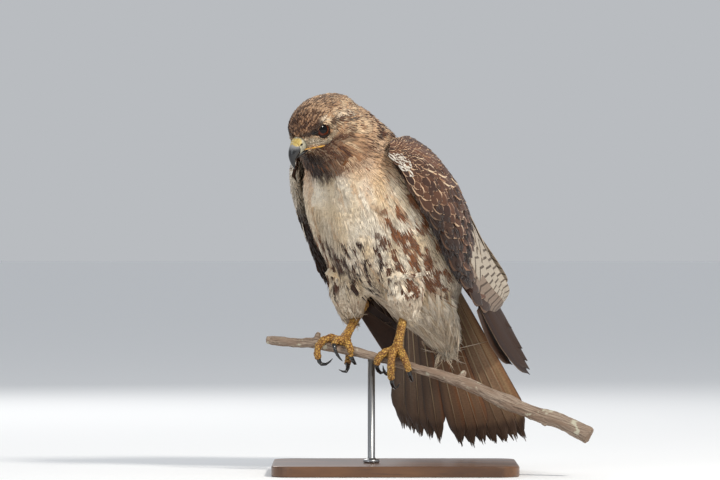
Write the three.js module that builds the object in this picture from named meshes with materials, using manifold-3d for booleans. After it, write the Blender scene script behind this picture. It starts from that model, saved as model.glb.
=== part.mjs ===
// Red-tailed hawk, life size, gripping a cut length of branch on a plain display stand.
// Millimetres, +Z up. The origin is the centre of the underside of the stand's base.
// A bird point is [a, l, h]: a ahead of the feet, l to the bird's left, h above the perch.
import * as THREE from "three";
import { mergeVertices } from "three/addons/utils/BufferGeometryUtils.js";
import Module from "manifold-3d";

const wasm = await Module();
wasm.setup();

// Where the bird stands and which way it faces
const PERCH_HEIGHT = 131;
const FEET_X = -30;
const FEET_Y = -20;
const BIRD_YAW_DEG = -122;
const HEAD_TURN_DEG = -12;
const HEAD_PITCH_DEG = 30;
const HEAD_ROLL_DEG = -4;
const BETWEEN_EYES = [93, -15, 248];

// Clearance that parts keep between touching solids
const GAP = 0.35;

// Head, in its own frame: x ahead of the eyes, y to the left, z above them
const EYE_RADIUS = 9.5;
const EYE_SIDE = 15.4;
const CERE_FRONT = 31;

// Feet and perch
const PERCH_YAW_DEG = -20;
const PERCH_RADIUS = 5.2;
const TARSUS_RADIUS = 4.3;
const TOE_RADIUS = 4.1;
const TALON_RADIUS = 2.7;

// Tail
const TAIL_ROOT = [-116, -1, 84];
const TAIL_TIP = [-176, 14, -111];
const TAIL_YAW_DEG = 9;
const ROOT_SPREAD = 1.9;
const RECTRIX_WIDTH = 34;
const RECTRIX_THICKNESS = 1.3;
const LAYER_RISE = 0.95;

// Stand
const BASE_LENGTH = 270;
const BASE_DEPTH = 230;
const BASE_THICKNESS = 12;
const BASE_CORNER = 26;
const BASE_BEVEL = 2;
const ROD_RADIUS = 4;
const ROD_COLLAR_RADIUS = 9;
const ROD_COLLAR_HEIGHT = 4;

const colours = {
  crown: new THREE.MeshStandardMaterial({ color: 0x8a6248, roughness: 0.9 }),
  nape: new THREE.MeshStandardMaterial({ color: 0x9c7252, roughness: 0.9 }),
  breast: new THREE.MeshStandardMaterial({ color: 0xd8c7ae, roughness: 0.95 }),
  rump: new THREE.MeshStandardMaterial({ color: 0xcdbda6, roughness: 0.95 }),
  thigh: new THREE.MeshStandardMaterial({ color: 0xbfae96, roughness: 0.95 }),
  covert: new THREE.MeshStandardMaterial({ color: 0x4a2f22, roughness: 0.85 }),
  remex: new THREE.MeshStandardMaterial({ color: 0x3a2a22, roughness: 0.7 }),
  rectrix: new THREE.MeshStandardMaterial({ color: 0x8c5a36, roughness: 0.7 }),
  cere: new THREE.MeshStandardMaterial({ color: 0xd8b843, roughness: 0.5 }),
  horn: new THREE.MeshStandardMaterial({ color: 0x2c2c30, roughness: 0.3 }),
  eye: new THREE.MeshStandardMaterial({ color: 0x2a120a, roughness: 0.05 }),
  foot: new THREE.MeshStandardMaterial({ color: 0xcf9a35, roughness: 0.6 }),
  bark: new THREE.MeshStandardMaterial({ color: 0x8f7a68, roughness: 0.95 }),
  steel: new THREE.MeshStandardMaterial({
    color: 0x8c8c8c,
    roughness: 0.35,
    metalness: 1,
  }),
  wood: new THREE.MeshStandardMaterial({ color: 0x5b3d28, roughness: 0.6 }),
};

const radians = THREE.MathUtils.degToRad;
const vector = (p) => new THREE.Vector3(...p);
const lerp = THREE.MathUtils.lerp;

// A closed geometry through rings of equal length, its two ends closed by fans.
function loft(rings) {
  const sides = rings[0].length;
  const points = rings.flat();
  const faces = [];
  for (let i = 0; i + 1 < rings.length; i++)
    for (let j = 0; j < sides; j++) {
      const a = i * sides + j;
      const b = i * sides + ((j + 1) % sides);
      faces.push(a, b, a + sides, b, b + sides, a + sides);
    }
  for (const [ring, turn] of [
    [0, 1],
    [rings.length - 1, 0],
  ]) {
    const middle = points.length;
    const centre = new THREE.Vector3();
    rings[ring].forEach((p) => centre.add(p));
    points.push(centre.divideScalar(sides));
    for (let j = 0; j < sides; j++) {
      const a = ring * sides + j;
      const b = ring * sides + ((j + 1) % sides);
      faces.push(middle, ...(turn ? [b, a] : [a, b]));
    }
  }
  const made = new THREE.BufferGeometry().setFromPoints(points);
  made.setIndex(faces);
  return made;
}

// The solid of a closed geometry, whichever way round its faces were wound.
function solid(geometry) {
  const bare = geometry.clone();
  bare.deleteAttribute("normal");
  bare.deleteAttribute("uv");
  const merged = mergeVertices(bare, 1e-4);
  const triVerts = new Uint32Array(merged.index.array);
  const vertProperties = merged.attributes.position.array;
  const make = () =>
    new wasm.Manifold(new wasm.Mesh({ numProp: 3, vertProperties, triVerts }));
  const made = make();
  if (made.volume() > 0) return made;
  for (let i = 0; i < triVerts.length; i += 3)
    [triVerts[i + 1], triVerts[i + 2]] = [triVerts[i + 2], triVerts[i + 1]];
  return make();
}

// The largest piece of a solid, so that slivers left by a cut go.
function largest(body) {
  const found = body.decompose();
  found.sort((a, b) => b.volume() - a.volume());
  return found[0];
}

function mesh(name, body, material) {
  const { vertProperties, triVerts } = largest(body).getMesh();
  const made = new THREE.BufferGeometry();
  made.setAttribute("position", new THREE.BufferAttribute(vertProperties, 3));
  made.setIndex(new THREE.BufferAttribute(triVerts, 1));
  made.computeVertexNormals();
  const node = new THREE.Mesh(made, material);
  node.name = name;
  return node;
}

// Everything on the far side of a plane, as a big box.
function halfSpace(point, normal, size = 900) {
  const box = new THREE.BoxGeometry(size, size, size);
  const turn = new THREE.Quaternion().setFromUnitVectors(
    new THREE.Vector3(0, 0, 1),
    vector(normal).normalize(),
  );
  box.translate(0, 0, size / 2);
  box.applyQuaternion(turn);
  box.translate(...point);
  return solid(box);
}

// The part of a solid on each side of a plane, with the gap between them.
function parted(body, point, normal) {
  const n = vector(normal).normalize();
  const back = n.clone().multiplyScalar(-1);
  const ahead = vector(point).addScaledVector(n, GAP / 2);
  const behind = vector(point).addScaledVector(n, -GAP / 2);
  return [
    body.intersect(halfSpace(ahead.toArray(), n.toArray())),
    body.intersect(halfSpace(behind.toArray(), back.toArray())),
  ];
}

// Rows of numbers made smooth and denser: a spline through every column.
function smoothRows(rows, count) {
  const out = [];
  for (let i = 0; i < count; i++) {
    const t = (i / (count - 1)) * (rows.length - 1);
    const k = Math.min(rows.length - 2, Math.floor(t));
    const f = t - k;
    const at = (n) => rows[Math.min(rows.length - 1, Math.max(0, n))];
    out.push(
      rows[0].map((_, c) => {
        const [p, q, r, s] = [at(k - 1)[c], at(k)[c], at(k + 1)[c], at(k + 2)[c]];
        const m = (r - p) / 2;
        const n = (s - q) / 2;
        return (
          q * (2 * f ** 3 - 3 * f ** 2 + 1) +
          m * (f ** 3 - 2 * f ** 2 + f) +
          r * (-2 * f ** 3 + 3 * f ** 2) +
          n * (f ** 3 - f ** 2)
        );
      }),
    );
  }
  return out;
}

// A body of flesh through stations [a, l, h, half width, up, down]. Each section stands
// square to the line through the centres, and is grown outwards by `grow`.
function bodyLoft(stations, rings, sides, grow = 0) {
  const rows = smoothRows(stations, rings);
  const centres = rows.map((r) => new THREE.Vector3(r[0], r[1], r[2]));
  return loft(
    rows.map((row, i) => {
      const along = centres[Math.min(i + 1, rings - 1)]
        .clone()
        .sub(centres[Math.max(i - 1, 0)])
        .normalize();
      const side = new THREE.Vector3(0, 0, 1).cross(along).normalize();
      const up = along.clone().cross(side);
      const middle = centres[i].clone();
      if (i === 0) middle.addScaledVector(along, -grow);
      if (i === rings - 1) middle.addScaledVector(along, grow);
      return Array.from({ length: sides }, (_, j) => {
        const turn = (2 * Math.PI * j) / sides;
        const rise = Math.sin(turn);
        return middle
          .clone()
          .addScaledVector(side, Math.cos(turn) * (row[3] + grow))
          .addScaledVector(up, rise * ((rise > 0 ? row[4] : row[5]) + grow));
      });
    }),
  );
}

// A round limb through points [x, y, z, radius].
function limb(points, rings, sides, grow = 0) {
  return bodyLoft(
    points.map(([x, y, z, r]) => [x, y, z, r, r, r]),
    rings,
    sides,
    grow,
  );
}

function ellipsoid(centre, radii, turn = [0, 0, 0], detail = [16, 10]) {
  const ball = new THREE.SphereGeometry(1, ...detail);
  ball.scale(...radii);
  ball.rotateX(radians(turn[0]));
  ball.rotateY(radians(turn[1]));
  ball.rotateZ(radians(turn[2]));
  ball.translate(...centre);
  return ball;
}

// Moves a geometry from the head's own frame to the bird's.
const headPlace = new THREE.Matrix4().compose(
  vector(BETWEEN_EYES),
  new THREE.Quaternion().setFromEuler(
    new THREE.Euler(
      radians(HEAD_ROLL_DEG),
      radians(HEAD_PITCH_DEG),
      radians(HEAD_TURN_DEG),
      "ZYX",
    ),
  ),
  new THREE.Vector3(1, 1, 1),
);
const onHead = (geometry) => solid(geometry.applyMatrix4(headPlace));

// Stations run from the nape to the face: [x, y, z, half width, up, down].
const HEAD_STATIONS = [
  [-60, 0, -6, 15, 11, 15],
  [-50, 0, -4, 26, 18.5, 26],
  [-40, 0, -3, 31.5, 23, 30],
  [-24, 0, -2, 33.5, 27, 31],
  [-8, 0, -2, 31, 28, 30],
  [4, 0, -3, 27.5, 25.5, 27],
  [13, 0, -4.5, 22, 20.5, 21.5],
  [20, 0, -5.5, 15.5, 13, 15],
  [25.5, 0, -6, 9.8, 8, 10.5],
];

const headLoft = (grow = 0) => onHead(bodyLoft(HEAD_STATIONS, 12, 18, grow));
const socketSolid = (side) =>
  onHead(
    ellipsoid([3, side * 33.4, -2], [17, 14, 12], [0, 0, side * -12], [9, 6]),
  );

function headSolid() {
  let made = headLoft();
  for (const side of [1, -1]) {
    const brow = ellipsoid(
      [5, side * 20.5, 8.5],
      [14.5, 4.6, 3.6],
      [side * -14, 9, side * -20],
      [7, 4],
    );
    made = made.subtract(socketSolid(side)).add(onHead(brow));
  }
  return made;
}

const eyeSolid = (side, grow = 0) =>
  onHead(
    ellipsoid(
      [1.5, side * EYE_SIDE, 0],
      [EYE_RADIUS + grow, EYE_RADIUS + grow, EYE_RADIUS + grow],
      [90, 0, 0],
      [10, 7],
    ),
  );

// Bill stations: culmen [x, z], cutting edge [x, z] and half width.
const BILL_STATIONS = [
  [17, 3.4, 17, -15, 9.6],
  [25, 2, 25, -15.4, 8.8],
  [31, 0, 30, -15.8, 7.6],
  [36.5, -3.4, 34, -16.4, 6.4],
  [41, -8.2, 37, -17.4, 5.0],
  [43.6, -14, 38.8, -19.2, 3.6],
  [44, -20.4, 40.2, -22.6, 2.2],
  [42.4, -27.5, 41.2, -27.8, 0.5],
];

function billSolid(grow = 0) {
  const sides = 12;
  const rows = smoothRows(BILL_STATIONS, 13);
  return onHead(
    loft(
      rows.map(([topX, topZ, lowX, lowZ, half], i) => {
        const spread = i === 0 ? -grow : 0;
        return Array.from({ length: sides }, (_, j) => {
          const turn = (2 * Math.PI * j) / sides;
          const rise = (1 + Math.sin(turn)) / 2;
          const length = Math.hypot(topX - lowX, topZ - lowZ);
          const out = (Math.sin(turn) * grow) / length;
          return new THREE.Vector3(
            lerp(lowX, topX, rise + out) + spread,
            Math.cos(turn) * (half + grow),
            lerp(lowZ, topZ, rise + out),
          );
        });
      }),
    ),
  );
}

const lowerBillSolid = (grow = 0) =>
  onHead(
    bodyLoft(
      [
        [14, 0, -19, 8, 2.6, 3],
        [24, 0, -19.2, 7.2, 2.4, 3],
        [32, 0, -19.8, 5.2, 2.0, 2.4],
        [37, 0, -20.8, 2.6, 1.2, 1.4],
      ],
      5,
      10,
      grow,
    ),
  );

// Neck and trunk in one line, from the back of the head to the root of the tail.
const TRUNK_STATIONS = [
  [86, -12, 241, 33, 39, 26],
  [64, -7, 232, 45, 53, 38],
  [40, -1, 219, 56, 52, 50],
  [18, 0, 194, 68, 60, 62],
  [-10, 0, 163, 75, 68, 70],
  [-38, 1, 132, 76, 69, 70],
  [-68, 3, 106, 72, 60, 58],
  [-95, 3, 84, 62, 43, 40],
  [-116, 3, 64, 44, 23, 24],
  [-129, 3, 38, 30, 9, 13],
  [-137, 4, 12, 16, 4, 6],
];
const trunkLoft = (grow = 0) => solid(bodyLoft(TRUNK_STATIONS, 15, 20, grow));
const NECK_CUT = [[40, -1, 222], [-0.8, 0, -0.6]];
const RUMP_CUT = [[-78, 3, 98], [-0.82, 0, -0.57]];

// Feathered thigh from the flank to the ankle, for the left side (side 1) or right (-1).
const THIGHS = {
  left: [
    [-18, 30, 120, 20, 20, 20],
    [-19, 31, 104, 24, 22, 22],
    [-12, 33, 82, 27, 28, 25],
    [-25, 34, 61, 20, 30, 18],
    [-32, 32, 46, 14, 21, 12],
    [-34, 31, 36, 7, 8, 7],
  ],
  right: [
    [-18, -28, 120, 20, 20, 20],
    [-19, -30, 104, 24, 22, 22],
    [-11, -33, 82, 26, 29, 24],
    [-22, -37, 60, 20, 36, 18],
    [-30, -41, 45, 14, 27, 12],
    [-32, -42, 33, 7, 9, 7],
  ],
};

// Long loose feathers under the root of the tail.
const CRISSUM_STATIONS = [
  [-60, 4, 86, 46, 26, 28],
  [-92, 9, 60, 53, 22, 25],
  [-112, 16, 38, 42, 15, 19],
  [-124, 19, 16, 25, 8, 10],
  [-131, 20, 0, 10, 4, 4],
];
const crissumLoft = (grow = 0) => solid(bodyLoft(CRISSUM_STATIONS, 8, 16, grow));

// Folded wing, left side, in bands across it from the wrist towards the tip. Each band
// is its leading edge, the middle of its outer face and its trailing edge.
const WING_BANDS = [
  [62, 64, 220, 57, 62, 228, 48, 56, 234],
  [52, 78, 203, 40, 77, 224, 22, 54, 240],
  [28, 87, 172, 4, 89, 209, -24, 44, 240],
  [-4, 92, 136, -38, 91, 187, -70, 30, 227],
  [-37, 94, 95, -80, 85, 152, -114, 26, 184],
  [-79, 89, 66, -118, 75, 113, -148, 30, 144],
  [-116, 82, 46, -152, 75, 85, -178, 43, 103],
  [-148, 76, 42, -176, 70, 68, -194, 54, 80],
  [-166, 70, 50, -186, 64, 58, -198, 57, 66],
];
const WING_THICKNESS = [5, 11, 13, 13, 12, 10, 7, 4, 1.6];

// The right wing hangs a little further back and closer in than the left.
const RIGHT_WING_SHIFT = [-8, -3, -8];
const SECONDARY_CUT = [[-88, 84, 92], [-0.7, 0.1, -0.7]];

// The long outer feathers past the secondaries: bands as on the wing.
const PRIMARY_BANDS = [
  [-92, 82, 64, -104, 80, 78, -116, 76, 90],
  [-112, 77, 37, -128, 76, 56, -144, 72, 72],
  [-142, 74, 12, -156, 74, 30, -168, 70, 44],
  [-172, 72, -8, -182, 72, 8, -192, 69, 20],
  [-204, 70, -19, -210, 70, -8, -216, 68, 2],
  [-228, 68, -27, -231, 68, -20, -234, 68, -14],
  [-238, 67, -29, -239, 67, -27, -240, 67, -25],
];
const PRIMARY_THICKNESS = [3, 4, 3.6, 3, 2.4, 1.8, 1.2];

// A curved slab through bands, its outer face on the bands' points.
function slabLoft(bands, thickness, rings, grow, side) {
  const across = 6;
  const shift = side < 0 ? vector(RIGHT_WING_SHIFT) : new THREE.Vector3();
  const rows = smoothRows(
    bands.map((b, i) => [...b, thickness[i]]),
    rings,
  );
  const outer = rows.map((row) => {
    const [lead, middle, trail] = [0, 3, 6].map((k) => vector(row.slice(k, k + 3)));
    const bend = middle.clone().multiplyScalar(2);
    bend.addScaledVector(lead, -0.5).addScaledVector(trail, -0.5);
    const curve = new THREE.QuadraticBezierCurve3(lead, bend, trail);
    return curve.getPoints(across - 1);
  });
  for (const [end, next] of [
    [0, 1],
    [rings - 1, rings - 2],
  ])
    outer[end].forEach((p, j) => {
      const away = p.clone().sub(outer[next][j]).normalize();
      p.addScaledVector(away, grow * 2);
    });
  const outward = (i, j) => {
    const [i0, i1] = [Math.max(0, i - 1), Math.min(rings - 1, i + 1)];
    const [j0, j1] = [Math.max(0, j - 1), Math.min(across - 1, j + 1)];
    const along = outer[i1][j].clone().sub(outer[i0][j]);
    const over = outer[i][j1].clone().sub(outer[i][j0]);
    return along.cross(over).normalize();
  };
  return solid(
    loft(
      outer.map((line, i) => {
        const thick = rows[i][9];
        const lift = (j) => {
          const s = j / (across - 1);
          return thick * (0.3 + 0.7 * Math.sqrt(Math.max(0, 1 - s * s))) * (1 - s * 0.4);
        };
        const top = line.map((p, j) => p.clone().addScaledVector(outward(i, j), grow));
        const low = line.map((p, j) =>
          p.clone().addScaledVector(outward(i, j), -lift(j) - grow),
        );
        const first = line[0].clone().sub(line[1]).normalize();
        const last = line[across - 1].clone().sub(line[across - 2]).normalize();
        const edge = Math.min(thick * 0.45, 5);
        top[0].addScaledVector(first, grow);
        low[0].addScaledVector(first, grow);
        top[across - 1].addScaledVector(last, grow);
        low[across - 1].addScaledVector(last, grow);
        const nose = top[0].clone().lerp(low[0], 0.5).addScaledVector(first, edge);
        const ring = [...top, ...low.reverse(), nose];
        return ring.map((p) =>
          p.add(shift).multiply(new THREE.Vector3(1, side, 1)),
        );
      }),
    ),
  );
}
const wingSolid = (side, grow = 0) =>
  slabLoft(WING_BANDS, WING_THICKNESS, 11, grow, side);
const primarySolid = (side, grow = 0) =>
  slabLoft(PRIMARY_BANDS, PRIMARY_THICKNESS, 7, grow, side);

// One tail feather: a thin blade, widest near its square tip.
function rectrix(spread, layer) {
  const root = vector(TAIL_ROOT);
  const axis = vector(TAIL_TIP).sub(root);
  const length = axis.length() + spread * (spread < 0 ? 1.7 : 0.5);
  axis.normalize();
  const yaw = radians(TAIL_YAW_DEG);
  const left = new THREE.Vector3(-Math.sin(yaw), Math.cos(yaw), 0);
  left.addScaledVector(axis, -left.dot(axis)).normalize();
  const front = left.clone().cross(axis).normalize();
  const along = axis
    .clone()
    .multiplyScalar(Math.cos(radians(spread)))
    .addScaledVector(left, Math.sin(radians(spread)));
  const across = left
    .clone()
    .multiplyScalar(Math.cos(radians(spread)))
    .addScaledVector(axis, -Math.sin(radians(spread)));
  const start = root.clone().addScaledVector(left, spread * ROOT_SPREAD);
  const lift = layer * LAYER_RISE;
  const profile = [
    [0, 0.3],
    [0.45, 0.68],
    [0.88, 1],
    [1, 0.6],
  ];
  return solid(
    loft(
      profile.map(([t, wide]) => {
        const middle = start.clone().addScaledVector(along, t * length);
        const half = (wide * RECTRIX_WIDTH) / 2;
        const spots = [-1, 1];
        const face = (x, depth) =>
          middle
            .clone()
            .addScaledVector(across, x * half)
            .addScaledVector(front, lift + depth);
        const near = spots.map((x) => face(x, RECTRIX_THICKNESS / 2));
        const far = spots.map((x) => face(x, -RECTRIX_THICKNESS / 2));
        return [...near, ...far.reverse()];
      }),
    ),
  );
}

// Rectrices from the bird's right to its left: degrees from the tail's middle, layer.
const RECTRICES = [
  [-13, 5],
  [-11, 4],
  [-9, 3],
  [-6.8, 2],
  [-4.6, 1],
  [0.4, 0],
  [2.8, 1],
  [5.2, 2],
  [7.6, 3],
  [10, 4],
  [12.2, 5],
  [14.2, 6],
];

function tailSolid() {
  let made = null;
  for (const [spread, layer] of RECTRICES) {
    const blade = rectrix(spread, layer);
    made = made ? made.add(blade) : blade;
  }
  const root = vector(TAIL_ROOT);
  const knot = ellipsoid(
    root.clone().lerp(vector(TAIL_TIP), 0.06).toArray(),
    [9, 26, 16],
    [0, 0, TAIL_YAW_DEG],
    [12, 6],
  );
  return made.add(solid(knot));
}

// Perch centreline: [distance along X from the feet, rise], with its radius.
const PERCH_LINE = [
  [-112, 15.5, 5.0],
  [-84, 13.5, 5.0],
  [-56, 12, 5.2],
  [-28, 6, 5.6],
  [0, 0, 5.4],
  [31, -8, 5.0],
  [62, -17, 5.0],
  [96, -27, 5.8],
  [128, -40, 6.8],
  [150, -50, 8.0],
  [176, -60, 7.9],
  [212, -72, 8.2],
  [240, -86, 9.2],
];
const perchYaw = radians(PERCH_YAW_DEG);
const perchPoint = ([x, rise]) =>
  new THREE.Vector3(
    FEET_X + x,
    FEET_Y + x * Math.tan(perchYaw),
    PERCH_HEIGHT + rise,
  );

// A woody stem through [x, y, z, radius] points, with low lumps where bark swells.
function stem(points, rings, sides, knots = []) {
  const rows = smoothRows(points, rings);
  return bodyLoft(
    rows.map(([x, y, z, r]) => {
      const swell = knots.reduce(
        (sum, [at, size]) => sum + size * Math.exp(-(((x - at) / 5) ** 2)),
        0,
      );
      const thick = r + swell;
      return [x, y, z, thick, thick, thick];
    }),
    rings,
    sides,
  );
}

const PERCH_KNOTS = [
  [-100, 1.6],
  [-74, 1.2],
  [-46, 1.4],
  [-24, 1.8],
  [68, 1.2],
  [112, 1.4],
  [150, 1.5],
];

// The bare stem, in world coordinates.
function perchStem(grow = 0) {
  const line = PERCH_LINE.map((row) => [
    ...perchPoint(row).toArray(),
    row[2] + grow,
  ]);
  const knots = PERCH_KNOTS.map(([x, size]) => [x + FEET_X, size]);
  return stem(line, 22, 8, knots);
}

function perchSolid() {
  let made = solid(perchStem());
  const spurs = [
    [-58, 12, [4, -3, 12], 2.4],
    [188, -64, [5, -6, -11], 2.6],
    [100, -28, [6, 3, 11], 2.6],
  ];
  for (const [x, rise, reach, r] of spurs) {
    const foot = perchPoint([x, rise]);
    const tip = foot.clone().add(vector(reach));
    const spur = limb([[...foot.toArray(), r * 1.5], [...tip.toArray(), r]], 2, 6);
    made = made.add(solid(spur));
  }
  return made;
}

// Bird-frame directions along the perch and ahead of it, for placing the toes.
const perchTurn = radians(PERCH_YAW_DEG - BIRD_YAW_DEG);
const perchAlong = new THREE.Vector3(Math.cos(perchTurn), Math.sin(perchTurn), 0);
const perchAhead = new THREE.Vector3(Math.sin(perchTurn), -Math.cos(perchTurn), 0);
const onPerch = (origin, [b, f, u, r]) => {
  const p = vector(origin)
    .addScaledVector(perchAlong, b)
    .addScaledVector(perchAhead, f);
  return [p.x, p.y, p.z + u, r];
};

// A foot's places: [along the perch, ahead of it, above its axis], then a radius factor.
const FEET = {
  left: {
    origin: [-7, 33, -8],
    ankle: [-47, 24, 68],
    pad: [0, 0, 13.5],
    toes: {
      middle: {
        path: [[0, 3, 14], [-1, 11, 11], [-1, 14.5, 1], [-2, 14, -10], [-2, 11, -18]],
        talon: [[-2, 11, -18], [-2, 8, -25], [-1, -1, -28], [1, -8, -23]],
      },
      outer: {
        path: [[4, 1, 13], [10, 8, 9], [15, 11, 0], [18, 10, -9]],
        talon: [[18, 10, -9], [19, 7, -16], [18, -1, -20], [16, -8, -17]],
      },
      inner: {
        path: [[-4, 1, 13], [-11, 8, 11], [-17, 11, 5], [-20, 9, -2]],
        talon: [[-20, 9, -2], [-20, 6, -8], [-18, -1, -12], [-15, -7, -9]],
      },
      rear: {
        path: [[-2, -4, 13], [-6, -11, 5], [-8, -10, -5], [-9, -5, -11]],
        talon: [[-9, -5, -11], [-10, 2, -13], [-11, 10, -10], [-11, 14, -3]],
      },
    },
  },
  right: {
    origin: [6, -30, 2],
    ankle: [-54, -38, 56],
    pad: [2, 0, 13.5],
    toes: {
      outer: {
        path: [[-3, 1, 14], [-13, 5, 17], [-22, 10, 11], [-25, 11, 1], [-24, 9, -6]],
        talon: [[-24, 9, -6], [-22, 8, -12], [-15, 6, -12], [-9, 4, -6]],
      },
      middle: {
        path: [[0, 3, 14], [-3, 9, 14], [-4, 13, 10]],
        talon: [[-4, 13, 10], [-2, 16, 4], [1, 15, -3], [5, 11, -9]],
      },
      inner: {
        path: [[5, 1, 13], [10, 7, 10], [14, 10, 4], [14, 9, -3]],
        talon: [[14, 9, -3], [16, 8, -8], [17, 3, -12], [16, -2, -12]],
      },
      rear: {
        path: [[2, -4, 13], [4, -11, 5], [5, -10, -5], [5, -4, -12]],
        talon: [[5, -4, -12], [8, 2, -16], [7, 8, -21], [0, 10, -18]],
      },
    },
  },
};

function footSolid(foot, grow = 0) {
  const toe = (path) =>
    path.map((p, i) => {
      const taper = 1.1 - (0.28 * i) / (path.length - 1);
      return onPerch(foot.origin, [...p, TOE_RADIUS * taper]);
    });
  const pad = onPerch(foot.origin, [...foot.pad, 0]).slice(0, 3);
  const size = [8 + grow, 8 + grow, 6 + grow];
  let made = solid(ellipsoid(pad, size, [0, 0, 0], [10, 6]));
  const shin = [
    [...pad, TARSUS_RADIUS * 1.35],
    [...vector(pad).lerp(vector(foot.ankle), 0.25).toArray(), TARSUS_RADIUS],
    [...vector(pad).lerp(vector(foot.ankle), 0.7).toArray(), TARSUS_RADIUS],
    [...foot.ankle, TARSUS_RADIUS * 1.3],
  ];
  made = made.add(solid(limb(shin, 4, 7, grow)));
  for (const { path } of Object.values(foot.toes))
    made = made.add(solid(limb(toe(path), path.length + 1, 6, grow)));
  return made;
}

function talonSolid(foot, toe) {
  const sizes = [1, 0.86, 0.6, 0.16];
  const points = toe.talon.map((p, i) =>
    onPerch(foot.origin, [...p, TALON_RADIUS * sizes[i]]),
  );
  return solid(limb(points, 6, 6));
}

function standBase() {
  const [x, y, r] = [BASE_LENGTH / 2, BASE_DEPTH / 2, BASE_CORNER];
  const outline = new THREE.Shape();
  outline.absarc(x - r, y - r, r, 0, Math.PI / 2);
  outline.absarc(-x + r, y - r, r, Math.PI / 2, Math.PI);
  outline.absarc(-x + r, -y + r, r, Math.PI, 1.5 * Math.PI);
  outline.absarc(x - r, -y + r, r, 1.5 * Math.PI, 2 * Math.PI);
  const plate = new THREE.ExtrudeGeometry(outline, {
    depth: BASE_THICKNESS - 2 * BASE_BEVEL,
    bevelThickness: BASE_BEVEL,
    bevelSize: BASE_BEVEL,
    bevelOffset: -BASE_BEVEL,
    bevelSegments: 1,
    curveSegments: 5,
  });
  plate.translate(0, 0, BASE_BEVEL);
  return solid(plate);
}

function standRod(perch) {
  const profile = [
    [0, BASE_THICKNESS + GAP],
    [ROD_COLLAR_RADIUS, BASE_THICKNESS + GAP],
    [ROD_COLLAR_RADIUS, BASE_THICKNESS + ROD_COLLAR_HEIGHT],
    [ROD_RADIUS, BASE_THICKNESS + ROD_COLLAR_HEIGHT + 2],
    [ROD_RADIUS, PERCH_HEIGHT],
    [0, PERCH_HEIGHT],
  ];
  const rod = new THREE.LatheGeometry(
    profile.map(([r, z]) => new THREE.Vector2(r, z)),
    16,
  );
  rod.rotateX(Math.PI / 2);
  const place = perchPoint([4, 0]);
  rod.translate(place.x, place.y, 0);
  return solid(rod).subtract(solid(perchStem(GAP))).subtract(perch);
}

function hawk() {
  const bird = new THREE.Group();
  bird.name = "";
  bird.position.set(FEET_X, FEET_Y, PERCH_HEIGHT);
  bird.rotation.z = radians(BIRD_YAW_DEG);
  bird.updateMatrix();
  const toBird = bird.matrix.clone().invert();
  const held = solid(perchStem(GAP).applyMatrix4(toBird));

  const wings = { left: wingSolid(1), right: wingSolid(-1) };
  const primaries = { left: primarySolid(1), right: primarySolid(-1) };
  const clearOfWings = (body) =>
    body
      .subtract(wingSolid(1, GAP))
      .subtract(wingSolid(-1, GAP))
      .subtract(primarySolid(1, GAP))
      .subtract(primarySolid(-1, GAP));

  const bill = billSolid();
  const lowerBill = lowerBillSolid().subtract(billSolid(GAP));
  let head = headSolid().subtract(billSolid(GAP)).subtract(lowerBillSolid(GAP));
  for (const side of [1, -1]) head = head.subtract(eyeSolid(side, GAP));
  const front = vector([CERE_FRONT, 0, -6]).applyMatrix4(headPlace);
  const ahead = vector([1, 0, 0.12]).transformDirection(headPlace);
  const [horn, cere] = parted(bill, front.toArray(), ahead.toArray());
  head = clearOfWings(head);
  bird.add(mesh("head", head, colours.crown));
  bird.add(mesh("cere", cere, colours.cere));
  bird.add(mesh("bill_upper", horn, colours.horn));
  bird.add(mesh("bill_lower", lowerBill, colours.horn));
  bird.add(mesh("eye_left", eyeSolid(1), colours.eye));
  bird.add(mesh("eye_right", eyeSolid(-1), colours.eye));

  let core = clearOfWings(trunkLoft()).subtract(headLoft(GAP));
  for (const side of [1, -1]) core = core.subtract(socketSolid(side));
  const [rear, neck] = parted(core, ...NECK_CUT);
  const [rumpCore, breast] = parted(rear, ...RUMP_CUT);
  const crissum = clearOfWings(crissumLoft());
  const rump = rumpCore.add(crissum);
  const [rumpOnly] = parted(rump, ...RUMP_CUT);
  bird.add(mesh("neck", neck, colours.nape));
  bird.add(mesh("trunk", breast, colours.breast));

  for (const name of ["left", "right"]) {
    const side = name === "left" ? 1 : -1;
    const foot = FEET[name];
    const flesh = footSolid(foot).subtract(held);
    const thigh = clearOfWings(solid(bodyLoft(THIGHS[name], 9, 12)))
      .subtract(trunkLoft(GAP))
      .subtract(crissumLoft(GAP));
    const around = footSolid(foot, GAP);
    bird.add(mesh("thigh_" + name, thigh.subtract(around), colours.thigh));
    bird.add(mesh("foot_" + name, flesh.subtract(trunkLoft(GAP)), colours.foot));
    for (const [toeName, toe] of Object.entries(foot.toes)) {
      const talon = talonSolid(foot, toe).subtract(around).subtract(held);
      bird.add(mesh(`talon_${name}_${toeName}`, talon, colours.horn));
    }
    const folded = wings[name].subtract(primarySolid(side, GAP));
    const cut = [
      [SECONDARY_CUT[0][0], SECONDARY_CUT[0][1] * side, SECONDARY_CUT[0][2]],
      [SECONDARY_CUT[1][0], SECONDARY_CUT[1][1] * side, SECONDARY_CUT[1][2]],
    ];
    const [secondaries, coverts] = parted(folded, ...cut);
    bird.add(mesh(`wing_${name}_coverts`, coverts, colours.covert));
    bird.add(mesh(`wing_${name}_secondaries`, secondaries, colours.remex));
    bird.add(mesh(`wing_${name}_primaries`, primaries[name], colours.remex));
  }
  bird.add(mesh("rump", rumpOnly, colours.rump));
  const tail = tailSolid().subtract(trunkLoft(GAP)).subtract(crissumLoft(GAP));
  bird.add(mesh("tail", tail, colours.rectrix));
  return bird;
}

const model = new THREE.Group();
const perch = perchSolid();
model.add(hawk());
model.add(mesh("perch", perch, colours.bark));
model.add(mesh("stand_rod", standRod(perch), colours.steel));
model.add(mesh("stand_base", standBase(), colours.wood));

export default model;
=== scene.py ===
import math

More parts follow.
